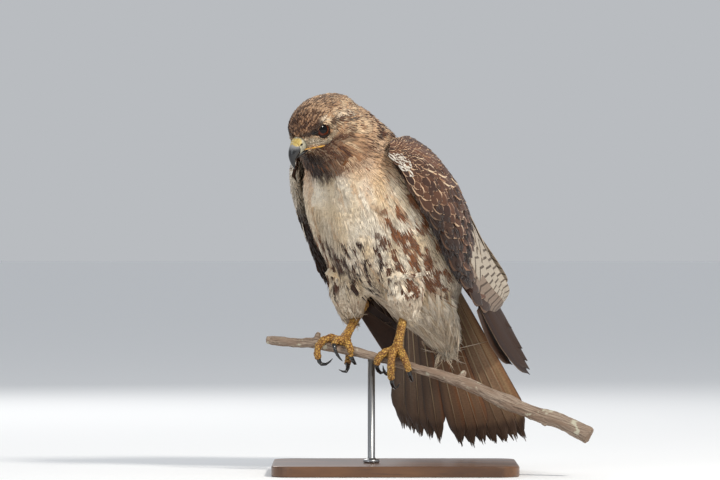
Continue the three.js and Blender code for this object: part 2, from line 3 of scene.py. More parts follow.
import bmesh
import bpy
import numpy as np
from mathutils import Matrix, Vector
from mathutils.bvhtree import BVHTree


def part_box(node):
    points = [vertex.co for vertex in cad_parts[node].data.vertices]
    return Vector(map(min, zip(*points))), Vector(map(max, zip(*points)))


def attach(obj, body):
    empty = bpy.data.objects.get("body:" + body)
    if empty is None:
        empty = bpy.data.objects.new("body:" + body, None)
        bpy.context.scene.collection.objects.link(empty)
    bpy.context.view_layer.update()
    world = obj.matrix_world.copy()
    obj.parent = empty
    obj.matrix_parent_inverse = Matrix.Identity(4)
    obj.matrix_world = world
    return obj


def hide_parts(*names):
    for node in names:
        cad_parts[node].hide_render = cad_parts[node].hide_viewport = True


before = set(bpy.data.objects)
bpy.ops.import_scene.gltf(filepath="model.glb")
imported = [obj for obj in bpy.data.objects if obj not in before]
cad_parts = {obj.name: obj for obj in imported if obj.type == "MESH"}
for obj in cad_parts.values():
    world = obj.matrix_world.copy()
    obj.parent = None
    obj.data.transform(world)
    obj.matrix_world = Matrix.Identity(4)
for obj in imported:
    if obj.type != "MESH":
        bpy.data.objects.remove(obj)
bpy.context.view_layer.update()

bl_info = {
    "name": "Red-tailed hawk on a perch",
    "version": (1, 0, 0),
    "blender": (4, 5, 0),
    "location": "View3D > Sidebar > Hawk",
    "description": "Feathers, bill, eyes, feet, perch and stand of a life-size hawk",
    "category": "Object",
}

MM = 0.001
SEED = 20

# Where the bird stands, in millimetres, and which way it and its head turn, in degrees
BIRD_PLACE = np.array([-30.0, -20.0, 131.0])
BIRD_YAW = -122
BETWEEN_EYES = np.array([93.0, -15.0, 248.0])
HEAD_TURN, HEAD_PITCH, HEAD_ROLL = -12, 30, -4
EYE_AHEAD, EYE_SIDE, EYE_RADIUS = 1.5, 15.4, 9.45
HEAD_BACK, HEAD_GIRTH = -40, 38
BREAST_TURN = 70

# Centreline from the back of the head to the tail's root: ahead, left, high
BODY_LINE = np.array([
    [86, -12, 241], [64, -7, 232], [40, -1, 219], [18, 0, 194], [-10, 0, 163],
    [-38, 1, 132], [-68, 3, 106], [-95, 3, 84], [-116, 3, 64], [-129, 3, 38],
], float)

# The photograph's camera: one of its pixels is 1.1 mm at the feet
CAMERA_PLACE = (-0.0385, -6.020, 0.2574)
CAMERA_LENS = 272.7
SENSOR_WIDTH = 36

FLESH = ("head", "neck", "trunk", "rump", "thigh_left", "thigh_right")
HEAD, NECK, TRUNK, RUMP, THIGHS = range(5)
SIDES = {1: "left", -1: "right"}
BAKE_PATCH = 0.003


def colour(text):
    """A colour written as RRGGBB, in linear light."""
    parts = [int(text[i:i + 2], 16) / 255 for i in (0, 2, 4)]
    return tuple(c / 12.92 if c <= 0.04045 else ((c + 0.055) / 1.055) ** 2.4 for c in parts)


# Turns and places, from the bird's own frame and the head's own frame
def turn_about(axis, degrees):
    return np.array(Matrix.Rotation(math.radians(degrees), 3, axis))


BIRD_TURN = turn_about("Z", BIRD_YAW)
HEAD_ROT = turn_about("Z", HEAD_TURN) @ turn_about("Y", HEAD_PITCH) @ turn_about("X", HEAD_ROLL)


def from_bird(points):
    return (np.asarray(points, float) @ BIRD_TURN.T + BIRD_PLACE) * MM


def to_bird(points):
    return (np.asarray(points) / MM - BIRD_PLACE) @ BIRD_TURN


def from_head(points):
    return from_bird(np.asarray(points, float) @ HEAD_ROT.T + BETWEEN_EYES)


def to_head(points):
    return (to_bird(points) - BETWEEN_EYES) @ HEAD_ROT


def head_way(ways):
    """Directions in the head's frame, turned to the world's."""
    return np.asarray(ways, float) @ HEAD_ROT.T @ BIRD_TURN.T


def bird_way(ways):
    """Directions in the bird's frame, turned to the world's."""
    return np.asarray(ways, float) @ BIRD_TURN.T


def unit(v):
    return v / np.maximum(np.linalg.norm(v, axis=-1, keepdims=True), 1e-12)


def ease(x, low, high):
    """0 below low, 1 above high and a smooth step between."""
    t = np.clip((np.asarray(x, float) - low) / (high - low), 0, 1)
    return t * t * (3 - 2 * t)


def blend(a, b, t):
    t = np.asarray(t)[:, None]
    return np.asarray(a) * (1 - t) + np.asarray(b) * t


def ripple(points, scale, seed=0):
    """Smooth wandering values from -1 to 1 over points, from a few crossed waves."""
    rng = np.random.default_rng(seed)
    total = np.zeros(len(points))
    for _ in range(6):
        way = rng.normal(size=3)
        total += np.sin(points @ (way / scale) + rng.uniform(0, 6.28))
    return total / 3


# Mesh helpers
def put(mesh, name):
    piece = bpy.data.objects.new(name, mesh)
    bpy.context.scene.collection.objects.link(piece)
    return piece


def finish_piece(piece, material, nodes=()):
    piece.data.materials.clear()
    piece.data.materials.append(material)
    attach(piece, "root")
    if nodes:
        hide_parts(*nodes)
    return piece


def smooth_shade(mesh):
    mesh.polygons.foreach_set("use_smooth", np.ones(len(mesh.polygons), bool))
    mesh.update()


def mesh_from(bm, name):
    """A mesh of what a bmesh holds, which it frees."""
    mesh = bpy.data.meshes.new(name)
    bm.to_mesh(mesh)
    bm.free()
    return mesh


def solid_copy(names, grow=0.0):
    """A bmesh of CAD nodes, each merged and grown outwards by grow metres."""
    joined = bmesh.new()
    for name in names:
        one = bmesh.new()
        one.from_mesh(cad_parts[name].data)
        bmesh.ops.remove_doubles(one, verts=one.verts, dist=1e-6)
        one.normal_update()
        if grow:
            for vert in one.verts:
                vert.co += vert.normal * grow
        part = mesh_from(one, "part")
        joined.from_mesh(part)
        bpy.data.meshes.remove(part)
    return joined


def remeshed(bm, voxel, name):
    """One even closed mesh round everything in a bmesh, which it frees."""
    rough = mesh_from(bm, "rough")
    piece = put(rough, "rough")
    change = piece.modifiers.new("even", "REMESH")
    change.mode = "VOXEL"
    change.voxel_size = voxel
    solved = piece.evaluated_get(bpy.context.evaluated_depsgraph_get())
    mesh = bpy.data.meshes.new_from_object(solved)
    mesh.name = name
    bpy.data.objects.remove(piece)
    bpy.data.meshes.remove(rough)
    return mesh


def coordinates(mesh):
    co = np.empty(len(mesh.vertices) * 3)
    mesh.vertices.foreach_get("co", co)
    return co.reshape(-1, 3)


def move_to(mesh, co):
    mesh.vertices.foreach_set("co", np.asarray(co, float).ravel())
    mesh.update()


def normals(mesh):
    out = np.empty(len(mesh.vertices) * 3, np.float32)
    mesh.vertex_normals.foreach_get("vector", out)
    return out.reshape(-1, 3).astype(float)


def relax(mesh, times, share=0.5):
    """Evens a mesh out: each vertex moves towards the middle of its neighbours."""
    edges = np.empty(len(mesh.edges) * 2, np.int64)
    mesh.edges.foreach_get("vertices", edges)
    a, b = edges.reshape(-1, 2).T
    count = np.bincount(np.concatenate([a, b]), minlength=len(mesh.vertices))[:, None]
    co = coordinates(mesh)
    for _ in range(times):
        total = np.zeros_like(co)
        np.add.at(total, a, co[b])
        np.add.at(total, b, co[a])
        co += (total / np.maximum(count, 1) - co) * share
    move_to(mesh, co)


def tree_of(mesh):
    bm = bmesh.new()
    bm.from_mesh(mesh)
    tree = BVHTree.FromBMesh(bm)
    bm.free()
    return tree


def array_mesh(name, points, faces, maps, attributes):
    """A smooth mesh from arrays. faces is a list of (count, corners) index arrays, maps are UV
    maps and attributes are colours or vectors, one row for each point."""
    mesh = bpy.data.meshes.new(name)
    loops = np.concatenate([f.ravel() for f in faces]).astype(np.int32)
    sizes = np.concatenate([np.full(len(f), f.shape[1]) for f in faces])
    starts = np.concatenate([[0], np.cumsum(sizes)[:-1]]).astype(np.int32)
    mesh.vertices.add(len(points))
    mesh.vertices.foreach_set("co", np.asarray(points, np.float32).ravel())
    mesh.loops.add(len(loops))
    mesh.loops.foreach_set("vertex_index", loops)
    mesh.polygons.add(len(sizes))
    mesh.polygons.foreach_set("loop_start", starts)
    for key, values in maps.items():
        layer = mesh.uv_layers.new(name=key)
        layer.data.foreach_set("uv", np.asarray(values, np.float32)[loops].ravel())
    for key, values in attributes.items():
        add_attribute(mesh, key, values)
    mesh.update(calc_edges=True)
    mesh.validate()
    smooth_shade(mesh)
    return mesh


def add_attribute(mesh, key, values):
    """Stores a colour for each vertex as ground or mark, and a vector under any other name."""
    values = np.asarray(values, np.float32)
    if key in ("ground", "mark"):
        made = mesh.attributes.new(key, "FLOAT_COLOR", "POINT")
        full = np.concatenate([values, np.ones((len(values), 1), np.float32)], 1)
        made.data.foreach_set("color", full.ravel())
    else:
        made = mesh.attributes.new(key, "FLOAT_VECTOR", "POINT")
        made.data.foreach_set("vector", values.ravel())


# Materials
class Shader:
    """A short way to write a node material."""

    def __init__(self, name):
        self.material = bpy.data.materials.new(name)
        self.material.use_nodes = True
        self.tree = self.material.node_tree
        self.surface = self.tree.nodes["Principled BSDF"]

    def node(self, kind, inputs=(), **settings):
        made = self.tree.nodes.new(kind)
        for key, value in settings.items():
            setattr(made, key, value)
        for key, value in dict(inputs).items():
            self.feed(made.inputs[key], value)
        return made

    def feed(self, socket, value):
        if isinstance(value, bpy.types.NodeSocket):
            self.tree.links.new(value, socket)
        else:
            socket.default_value = value

    def set(self, **values):
        for key, value in values.items():
            self.feed(self.surface.inputs[key.replace("_", " ")], value)

    def math(self, kind, a, b=0.0, clamp=False):
        made = self.node("ShaderNodeMath", operation=kind, use_clamp=clamp)
        self.feed(made.inputs[0], a)
        self.feed(made.inputs[1], b)
        return made.outputs[0]

    def add(self, a, b):
        return self.math("ADD", a, b)

    def less(self, a, b):
        return self.math("SUBTRACT", a, b)

    def times(self, a, b):
        return self.math("MULTIPLY", a, b)

    def size(self, a):
        return self.math("ABSOLUTE", a)

    def square(self, a):
        return self.times(a, a)

    def both_ways(self, value, amount):
        """A value from 0 to 1 spread evenly about 0, amount wide."""
        return self.times(self.less(value, 0.5), amount)

    def mix(self, share, a, b):
        """Colour a where share is 0 and colour b where it is 1."""
        made = self.node("ShaderNodeMix", data_type="RGBA")
        self.feed(made.inputs[0], share)
        for socket, value in ((made.inputs[6], a), (made.inputs[7], b)):
            self.feed(socket, (*value, 1) if isinstance(value, tuple) else value)
        return made.outputs[2]

    def shade(self, tint, amount):
        """tint made lighter or darker by a grey amount around 1."""
        made = self.node("ShaderNodeMix", data_type="RGBA", blend_type="MULTIPLY")
        self.feed(made.inputs[0], 1.0)
        self.feed(made.inputs[6], tint)
        grey = self.node("ShaderNodeCombineColor")
        for i in range(3):
            self.feed(grey.inputs[i], amount)
        self.feed(made.inputs[7], grey.outputs[0])
        return made.outputs[2]

    def ramp(self, value, low, high, out_low=0.0, out_high=1.0):
        """A smooth step from out_low, where value is low, to out_high, where it is high."""
        made = self.node("ShaderNodeMapRange", interpolation_type="SMOOTHSTEP")
        for i, v in enumerate((value, low, high, out_low, out_high)):
            self.feed(made.inputs[i], v)
        return made.outputs[0]

    def in_object(self):
        return self.node("ShaderNodeTexCoord").outputs["Object"]

    def noise(self, scale, detail=3.0, vector=None, stretch=None, rough=0.5):
        where = vector or self.in_object()
        if stretch:
            where = self.node("ShaderNodeMapping", {"Vector": where, "Scale": stretch}).outputs[0]
        settings = {"Vector": where, "Scale": scale, "Detail": detail, "Roughness": rough}
        return self.node("ShaderNodeTexNoise", settings).outputs[0]

    def mottle(self, scale, a, b, low=0.35, high=0.7):
        """Two colours, written as RRGGBB, in soft patches."""
        return self.mix(self.ramp(self.noise(scale), low, high), colour(a), colour(b))

    def scale_edges(self, scale):
        """How far each place is from the edge of the scale that it is on."""
        settings = {"Vector": self.in_object(), "Scale": scale}
        made = self.node("ShaderNodeTexVoronoi", settings, feature="DISTANCE_TO_EDGE")
        return made.outputs[0]

    def bump(self, height, strength, distance):
        settings = {"Height": height, "Strength": strength, "Distance": distance}
        made = self.node("ShaderNodeBump", settings)
        self.feed(self.surface.inputs["Normal"], made.outputs[0])

    def tint(self, name):
        return self.node("ShaderNodeAttribute", attribute_name=name).outputs["Color"]

    def vector(self, name):
        return self.node("ShaderNodeAttribute", attribute_name=name).outputs["Vector"]

    def parts(self, vector):
        return self.node("ShaderNodeSeparateXYZ", {0: vector}).outputs

    def vane(self):
        """u across a feather from -1 to 1, and v along it from 0 to 1."""
        where = self.node("ShaderNodeUVMap", uv_map="Vane").outputs[0]
        across, along, _ = self.parts(where)
        return where, self.both_ways(across, 2.0), along


def feather_finish(name, barbs, grain, rough, wander, soft, blunt=0.5):
    """Feather vanes: a ground colour with a mark, fine barbs and a little wear. The mark is
    an oval at blunt 0.5 and follows the feather's outline near 0.2."""
    s = Shader(name)
    where, u, v = s.vane()
    wide, start, end = s.parts(s.vector("shape"))
    middle = s.times(s.add(start, end), 0.5)
    reach = s.times(s.less(end, start), 0.5)
    away = s.math("DIVIDE", s.less(v, middle), reach)
    inside = s.math("SUBTRACT", 1.0, s.square(away), True)
    width = s.times(s.math("POWER", inside, blunt), wide)
    uneven = s.both_ways(s.noise(260.0, 2.0), wander * 2)
    edge = s.add(s.less(width, s.size(u)), uneven)
    mask = s.times(s.ramp(edge, -soft, soft), s.math("GREATER_THAN", wide, 0.01))
    tint = s.mix(mask, s.tint("ground"), s.tint("mark"))
    slant = s.less(v, s.times(s.size(u), 0.35))
    barb = s.math("SINE", s.times(slant, barbs * 6.28))
    streak = s.noise(9.0, 3.0, where, (5.0, 0.7, 1.0))
    light = s.add(s.both_ways(streak, grain), 1.0)
    light = s.add(light, s.both_ways(s.noise(420.0, 2.0), grain))
    s.set(Base_Color=s.shade(tint, light), Roughness=rough, Sheen_Weight=0.12,
          Sheen_Roughness=0.5, Specular_IOR_Level=0.25)
    s.bump(s.add(barb, s.times(streak, 3.0)), 0.18, 0.0002)
    return s.material


# Colours of the plumage, with a grey and a near black for painted shade
CREAM = colour("F6E9D4")
WARM_CREAM = colour("EBD0A8")
# Grey for the breast's painted shade
PAINTED_SHADE_ASH = colour("B5A48C")
BUFF = colour("C9A684")
PALE_BUFF = colour("D8C0A2")
RUFOUS = colour("8F5C38")
BROWN = colour("5A3826")
DARK = colour("2F1C13")
# Near black for the painted shade on the wing's front edge
PAINTED_SHADE_BLACK = colour("1B110D")

# The belly's spots, in millimetres
SPOT_SPACING, SPOT_LENGTH, SPOT_WIDTH = 11.0, 13.5, 7.2


def along_body(points):
    """For points in the bird's frame: the share of the way from head to tail, the degrees
    round the body from the middle of the breast, positive to the bird's left, and the
    direction towards the tail."""
    steps = np.linalg.norm(np.diff(BODY_LINE, axis=0), axis=1)
    at = np.concatenate([[0], np.cumsum(steps)]) / steps.sum()
    best = np.full(len(points), 1e9)
    share = np.zeros(len(points))
    angle = np.zeros(len(points))
    way = np.zeros((len(points), 3))
    for i in range(len(steps)):
        a, b = BODY_LINE[i], BODY_LINE[i + 1]
        d = (b - a) / steps[i]
        t = np.clip((points - a) @ d / steps[i], 0, 1)
        off = points - (a + t[:, None] * (b - a))
        far = np.linalg.norm(off, axis=1)
        side = unit(np.cross(d, [0, 0, 1.0])) * -1
        side = side if side[1] > 0 else -side
        down = np.cross(d, side)
        down = down if down[2] < 0 or down[0] > 0 else -down
        near = far < best
        best[near] = far[near]
        share[near] = (at[i] + t * (at[i + 1] - at[i]))[near]
        angle[near] = np.degrees(np.arctan2(off @ side, off @ down))[near]
        way[near] = d
    return share, angle, way


def body_colours(points, rng):
    """Ground colour, mark colour and mark shape for each feather on neck, trunk and rump."""
    share, angle, _ = along_body(points)
    wander = ripple(points, 14, 3)
    turn = np.abs(angle)
    n = len(points)
    strand = ripple(np.stack([angle / 7, share * 7, angle * 0], 1), 1.0, 15)
    ground = blend(CREAM, WARM_CREAM, np.clip(0.3 + 0.5 * wander + 0.2 * strand, 0, 1))
    # Grey ash along broad streaks and towards the bird's right side (negative angle): painted
    # shade between the locks and on the side away from the light
    shade = 0.2 * ease(-angle, -30, 40) + 0.5 * ease(strand, 0.15, 0.9)
    ground = blend(ground, PAINTED_SHADE_ASH, np.clip(shade, 0, 0.7) * (1 - ease(turn, 75, 100)))
    thin = ripple(np.stack([angle / 2.4, share * 13, angle * 0], 1), 1.0, 16)
    ground = blend(ground, colour("C79C70"), 0.5 * ease(thin, 0.45, 0.9) * ease(share, 0.1, 0.2))
    # Grey-brown in the dark thin streaks: more painted shade between the locks
    ground = blend(ground, colour("8F7F6B"), 0.45 * ease(-thin, 0.5, 0.95) * ease(strand, 0, 0.6))
    # Brown neck that fades into the breast, with the dark throat under the bill
    edge = 0.052 + 0.0011 * np.minimum(turn, 110)
    hood = 1 - ease(share + 0.02 * wander + 0.012 * strand - edge, -0.03, 0.055)
    hood_tint = blend(colour("8A5C3C"), BUFF, ease(turn, 50, 110))
    hood_tint = blend(hood_tint, colour("6E452C"), 0.5 * ease(strand, 0.0, 0.7))
    ground = blend(ground, hood_tint, hood)
    throat = (1 - ease(share, 0.06, 0.13)) * (1 - ease(turn, 25, 60))
    ground = blend(ground, colour("2A1810"), throat * 0.9)
    # Rufous wash beside the neck
    wash = ease(turn, 25, 60) * (1 - ease(share, 0.16, 0.34)) * (1 - hood)
    ground = blend(ground, colour("D09A66"), wash * (0.45 + 0.35 * ease(strand, -0.3, 0.5)))
    # Dark back
    back = ease(turn + 6 * wander, 104, 122) * ease(share, 0.1, 0.22)
    mark = np.tile(RUFOUS, (n, 1))
    fine = (hood + wash > 0.15) & (rng.random(n) < 0.35)
    wide = np.where(fine, rng.uniform(0.12, 0.3, n), 0.0)
    start = np.full(n, 0.1)
    mark = blend(mark, BROWN, np.clip(hood, 0, 1))
    backed = rng.random(n) < back
    ground = np.where(backed[:, None], blend(RUFOUS, PALE_BUFF, rng.random(n) * 0.5), ground)
    mark = np.where(backed[:, None], blend(BROWN, DARK, rng.random(n) * 0.8), mark)
    wide = np.where(backed, rng.uniform(0.72, 0.9, n), wide)
    start = np.where(backed, -0.8, start)
    end = np.where(backed, rng.uniform(0.9, 0.97, n), 0.9)
    ground = ground * rng.uniform(0.95, 1.04, (n, 1))
    return ground, mark, np.stack([wide, start, end], 1)


def spot_marks(tips, way, ground, rng):
    """Ground colours with the belly's dark drops and the flanks' rufous blotches, which the
    feathers show at their tips."""
    share, angle, _ = along_body(tips)
    n = len(tips)
    wander = ripple(tips, 22, 23)
    low = share + 0.025 * wander
    belly = ease(low, 0.38, 0.46) * (1 - ease(low, 0.63, 0.72))
    belly = belly * (1 - ease(np.abs(angle), 75, 100))
    flank = ease(angle, 22, 48) * ease(low, 0.29, 0.40) * (1 - ease(share, 0.78, 0.88))
    flank = np.maximum(flank, ease(-angle, 30, 60) * ease(low, 0.38, 0.5)
                       * (1 - ease(share, 0.68, 0.8)))
    flank = flank * (1 - ease(np.abs(angle), 108, 125))
    centres = spread_out(tips, SPOT_SPACING, rng)
    chance = np.clip(np.maximum(belly * 0.95, flank * 0.9), 0, 1)[centres]
    centres = centres[rng.random(len(centres)) < chance]
    inside = drops(tips, way, tips[centres], SPOT_LENGTH, SPOT_WIDTH, 24)
    strip = np.clip(np.maximum(belly, flank) * 1.6, 0, 1)
    rufous = ease(np.abs(angle), 22, 52)
    tint = blend(blend(DARK, BROWN, rng.random(n) * 0.8), colour("8A5836"), rufous)
    tint = tint * rng.uniform(0.85, 1.15, (n, 1))
    return blend(ground, tint, inside * strip)


def spread_out(points, spacing, rng):
    """Indexes of some points that lie at least spacing apart."""
    left = rng.permutation(len(points))
    chosen = []
    while len(left):
        chosen.append(left[0])
        far = np.sum((points[left] - points[left[0]]) ** 2, 1) > spacing ** 2
        left = left[far]
    return np.array(chosen)


# Lines of the head's markings in its own frame, each with its half width, in millimetres. The brow
# and the corner also carry painted shade.
FACE_LINES = {
    "patch": ([[0, 26.5, 10], [-10, 29.5, 8.5], [-22, 31, 6.5], [-34, 31, 3]], 8.5),
    "cheek": ([[8, 24, -19], [2, 33, -19], [-8, 40, -18], [-20, 40, -12]], 12.0),
    "jaw": ([[12, 14, -24], [6, 26, -28], [0, 36, -32]], 14.0),
    "lores": ([[24, 9, -6], [18.5, 16, -5], [13, 20, -8]], 6.5),
    "under": ([[13, 20, -9], [4, 24, -12], [-8, 27, -8], [-14, 32, -4]], 4.2),
    "brow": ([[24, 7, 3], [18.8, 14.9, 3.4], [12.2, 21.7, 7.5], [6.2, 24.3, 10],
              [-0.5, 25, 8.6]], 4.4),
    "behind": ([[0.5, 25, 8.4], [-6.2, 24.8, 5.4], [-11.5, 28.9, 2.0], [-16.5, 33.7, 0.8],
                [-25.5, 35.8, -1.5], [-34, 37, -3.5]], 4.0),
    "corner": ([[16, 18.5, 3], [12, 20.5, 1.5]], 4.0),
}


def near_line(points, line, width, across=1.0):
    """1 on a chain of places and 0 beyond width from it, with a soft edge. Distances to
    either side of the head count across times as much."""
    weights = np.array([1, across, 1])
    points = points * weights
    line = np.asarray(line, float) * weights
    best = np.full(len(points), 1e9)
    for a, b in zip(line[:-1], line[1:]):
        d = b - a
        t = np.clip((points - a) @ d / (d @ d), 0, 1)
        best = np.minimum(best, np.linalg.norm(points - a - t[:, None] * d, axis=1))
    return 1 - ease(best, width * 0.45, width)


def head_colours(points, rng):
    """Ground colour, mark colour and mark shape for feathers at points in the head's frame."""
    both = points * [1, 0, 1] + np.abs(points) * [0, 1, 0]
    x, side, z = both.T
    wander = ripple(points, 6, 5)
    n = len(points)
    round_head = np.arctan2(points[:, 1], z) * 22
    strand = ripple(np.stack([round_head / 0.55, x / 2.2, x * 0], 1), 1.0, 41)
    fine = ease(strand, -0.25, 0.45)
    on = {name: near_line(both, *line) for name, line in FACE_LINES.items() if name != "behind"}

    def streaked(dark, light):
        return blend(colour(dark), colour(light), fine)

    # Neck and nape: pale buff with soft tawny streaks, darker on the crown and forehead
    ground = blend(colour("A97C58"), colour("D8BB98"), 0.25 + 0.75 * fine)
    crown = ease(z + 0.2 * x, 5, 12)
    ground = blend(ground, streaked("56371F", "C8A380"), crown * 0.9)
    front = ease(x, -12, 14) * ease(z, -1, 6)
    ground = blend(ground, streaked("452A1B", "936B4E"), front * 0.85)
    # Pale patch above and behind the eye
    ground = blend(ground, streaked("D9BE9D", "E8D6BE"), on["patch"] * 0.9)
    # Brown cheek and moustache from the corner of the mouth down to the throat
    chin = ease(-z, 17, 23) * (1 - ease(side, 22, 40))
    dark = np.clip(np.maximum.reduce([on["cheek"] * 0.95, on["jaw"], chin]), 0, 1)
    dark = np.clip(dark * (1 + 0.2 * wander), 0, 1) * (1 - 0.25 * fine)
    ground = blend(ground, colour("51301D"), dark)
    throat = ease(-z, 20, 28) * (1 - ease(side, 10, 24))
    ground = blend(ground, colour("26160F"), throat * 0.9)
    # Greyish lores between the brow, the bill and the mouth, on round under the eye
    pale = np.maximum(on["lores"], on["under"] * 0.8)
    ground = blend(ground, streaked("9C8E78", "BCAE99"), pale * 0.9)
    # Dark brow from the bill over the eye, deepened with painted shade under its overhang, and the
    # line on behind it
    behind = near_line(both, *FACE_LINES["behind"], across=0.25)
    ground = blend(ground, colour("2E1B11"), np.maximum(on["brow"] * 0.9, behind * 0.8))
    # Near black in the front corner of the eye: painted shade in that hollow
    ground = blend(ground, colour("150E0B"), on["corner"])
    ground = ground * rng.uniform(0.92, 1.08, (n, 1))
    mark = ground * 0.6
    wide = np.where(rng.random(n) < 0.25, rng.uniform(0.1, 0.3, n), 0.0)
    shape = np.stack([wide, np.full(n, 0.05), np.full(n, 0.85)], 1)
    return ground, mark, shape


def drops(points, way, centres, long, wide, seed):
    """How far each point is inside the nearest drop-shaped mark, 0 outside and 1 inside."""
    rng = np.random.default_rng(seed)
    long = long * rng.uniform(0.75, 1.25, len(centres))
    wide = wide * rng.uniform(0.7, 1.2, len(centres))
    inside = np.zeros(len(points))
    for first in range(0, len(points), 2000):
        some = slice(first, first + 2000)
        off = points[some, None] - centres[None]
        along = np.einsum("ijk,ik->ij", off, way[some])
        across = np.sqrt(np.maximum(np.sum(off ** 2, 2) - along ** 2, 0))
        t = along / long
        room = np.sqrt(np.clip(1 - t ** 2, 0, 1)) * (0.62 + 0.38 * t)
        edge = room - across / wide
        inside[some] = ease(edge.max(1), -0.02, 0.16)
    return inside


# Laying feathers on a surface
def scatter(mesh, spacing, rng, keep=None):
    """Points on a mesh's faces, no two closer than spacing, in metres."""
    mesh.calc_loop_triangles()
    co = coordinates(mesh)
    corners = np.empty(len(mesh.loop_triangles) * 3, np.int64)
    mesh.loop_triangles.foreach_get("vertices", corners)
    a, b, c = co[corners.reshape(-1, 3)].transpose(1, 0, 2)
    area = np.linalg.norm(np.cross(b - a, c - a), axis=1) / 2
    count = int(area.sum() / spacing ** 2 * 4)
    pick = rng.choice(len(area), count, p=area / area.sum())
    r, s = rng.random((2, count, 1))
    flip = r + s > 1
    r, s = np.where(flip, 1 - r, r), np.where(flip, 1 - s, s)
    found = a[pick] + (b - a)[pick] * r + (c - a)[pick] * s
    if keep:
        found = found[keep(found)]
    cells = {}
    kept = []
    near = [(i, j, k) for i in (-1, 0, 1) for j in (-1, 0, 1) for k in (-1, 0, 1)]
    keys = np.floor(found / spacing).astype(int).tolist()
    rows = found.tolist()
    limit = spacing ** 2
    for n, (key, p) in enumerate(zip(keys, rows)):
        ok = True
        for i, j, k in near:
            for q in cells.get((key[0] + i, key[1] + j, key[2] + k), ()):
                if (p[0] - q[0]) ** 2 + (p[1] - q[1]) ** 2 + (p[2] - q[2]) ** 2 < limit:
                    ok = False
                    break
            if not ok:
                break
        if ok:
            cells.setdefault(tuple(key), []).append(p)
            kept.append(n)
    return found[kept]


def snap(tree, points):
    """The nearest places on a surface, their normals and how far off each point was."""
    place = np.empty((len(points), 3))
    normal = np.empty((len(points), 3))
    far = np.empty(len(points))
    for i, p in enumerate(points):
        where, way, _, gap = tree.find_nearest(Vector(p))
        place[i], normal[i], far[i] = where, way, gap
    return place, normal, far


def spine_of(tree, spots):
    """Root, middle and tip of each feather, lying along the surface under it, with normals."""
    place, normal = spots["place"], spots["normal"]
    length = spots["length"][:, None]
    way = spots["way"] - normal * np.sum(spots["way"] * normal, 1, keepdims=True)
    way = unit(way)
    half, half_normal, _ = snap(tree, place + way * length * 0.5)
    on = unit(half - place)
    tip, tip_normal, _ = snap(tree, half + on * length * 0.5)
    free = spots.get("free", np.zeros(len(place)))[:, None]
    straight = half + on * length * 0.5
    tip = tip * (1 - free) + straight * free
    depth = spots["depth"][:, None]
    root = place - normal * depth
    half = half - half_normal * depth * 0.42
    tip = tip + tip_normal * spots["proud"][:, None]
    return root, half, tip, normal, tip_normal


def on_spine(spine, v):
    """Places, directions and normals at shares v along each spine, v of shape (count, ...)."""
    root, half, tip, n0, n1 = (a.reshape(len(a), *([1] * (v.ndim - 1)), 3) for a in spine)
    t = v[..., None]
    place = root * (1 - t) * (1 - 2 * t) + half * 4 * t * (1 - t) + tip * t * (2 * t - 1)
    way = root * (4 * t - 3) + half * (4 - 8 * t) + tip * (4 * t - 1)
    way = unit(way)
    up = unit(n0 * (1 - t) + n1 * t)
    side = unit(np.cross(up, way))
    return place, way, side, np.cross(way, side)


def tufts(name, spine, spots, blades, nodes, rng, thick, ragged=0.12):
    """A mesh of soft feathers. Each is a fan of pointed, three-sided blades of barbs."""
    count = len(spots["width"])
    spread = np.linspace(-1, 1, blades) * 0.82 if blades > 1 else np.zeros(1)
    tip_u = spread + rng.normal(0, 0.09, (count, blades))
    tip_v = 1 - 0.24 * tip_u ** 2 + rng.normal(0, ragged, (count, blades)) * 0.5
    lift = rng.normal(0, 0.35, (count, blades))
    shares = np.array([*nodes, 1.0])
    v = tip_v[:, :, None] * shares
    u = tip_u[:, :, None] * shares ** 0.75
    widest = 1.25 / blades
    half_width = widest * np.array([0.62 if s == 0 else 1.05 - s ** 4 for s in nodes])
    place, _, side, up = on_spine(spine, v)
    wide = spots["width"][:, None, None, None] * 0.5
    tall = (lift[:, :, None] * shares ** 2 * 0.5 - 0.35 * u ** 2)[..., None] * MM
    middle = place + side * u[..., None] * wide + up * tall
    hw = half_width[None, None, :, None]
    left = middle[:, :, :-1] - side[:, :, :-1] * hw * wide
    right = middle[:, :, :-1] + side[:, :, :-1] * hw * wide
    ridge = middle[:, :, :-1] + up[:, :, :-1] * thick * MM
    ring = np.stack([left, right, ridge], 3).reshape(count, blades, -1, 3)
    points = np.concatenate([ring, middle[:, :, -1:]], 2)
    ring_u = np.stack([u[..., :-1] - half_width, u[..., :-1] + half_width, u[..., :-1]], 3)
    ring_v = np.repeat(v[:, :, :-1, None], 3, 3)
    flat_u = np.concatenate([ring_u.reshape(count, blades, -1), u[..., -1:]], 2)
    flat_v = np.concatenate([ring_v.reshape(count, blades, -1), v[..., -1:]], 2)
    per = points.shape[2]
    first = (np.arange(count * blades) * per)[:, None, None]
    rings = len(nodes)
    quads = [[3 * s + a, 3 * s + b, 3 * s + 3 + b, 3 * s + 3 + a]
             for s in range(rings - 1) for a, b in ((0, 1), (1, 2), (2, 0))]
    last = 3 * (rings - 1)
    tris = [[last + a, last + b, per - 1] for a, b in ((0, 1), (1, 2), (2, 0))] + [[0, 2, 1]]
    faces = [(first + np.array(f)).reshape(-1, len(f[0])) for f in (quads, tris) if f]
    return feather_mesh(name, points.reshape(-1, 3), faces, flat_u.ravel(), flat_v.ravel(),
                        spots, blades * per)


def feather_mesh(name, points, faces, u, v, spots, per):
    vane = np.stack([u * 0.5 + 0.5, v], 1)
    bake = (np.repeat(spots["unwrap"], per, 0)
            + np.clip(vane, 0, 1) * spots.get("patch", BAKE_PATCH))
    same = {key: np.repeat(spots[key], per, 0) for key in ("ground", "mark", "shape")}
    return array_mesh(name, points, faces, {"Vane": vane, "OFBake": bake}, same)


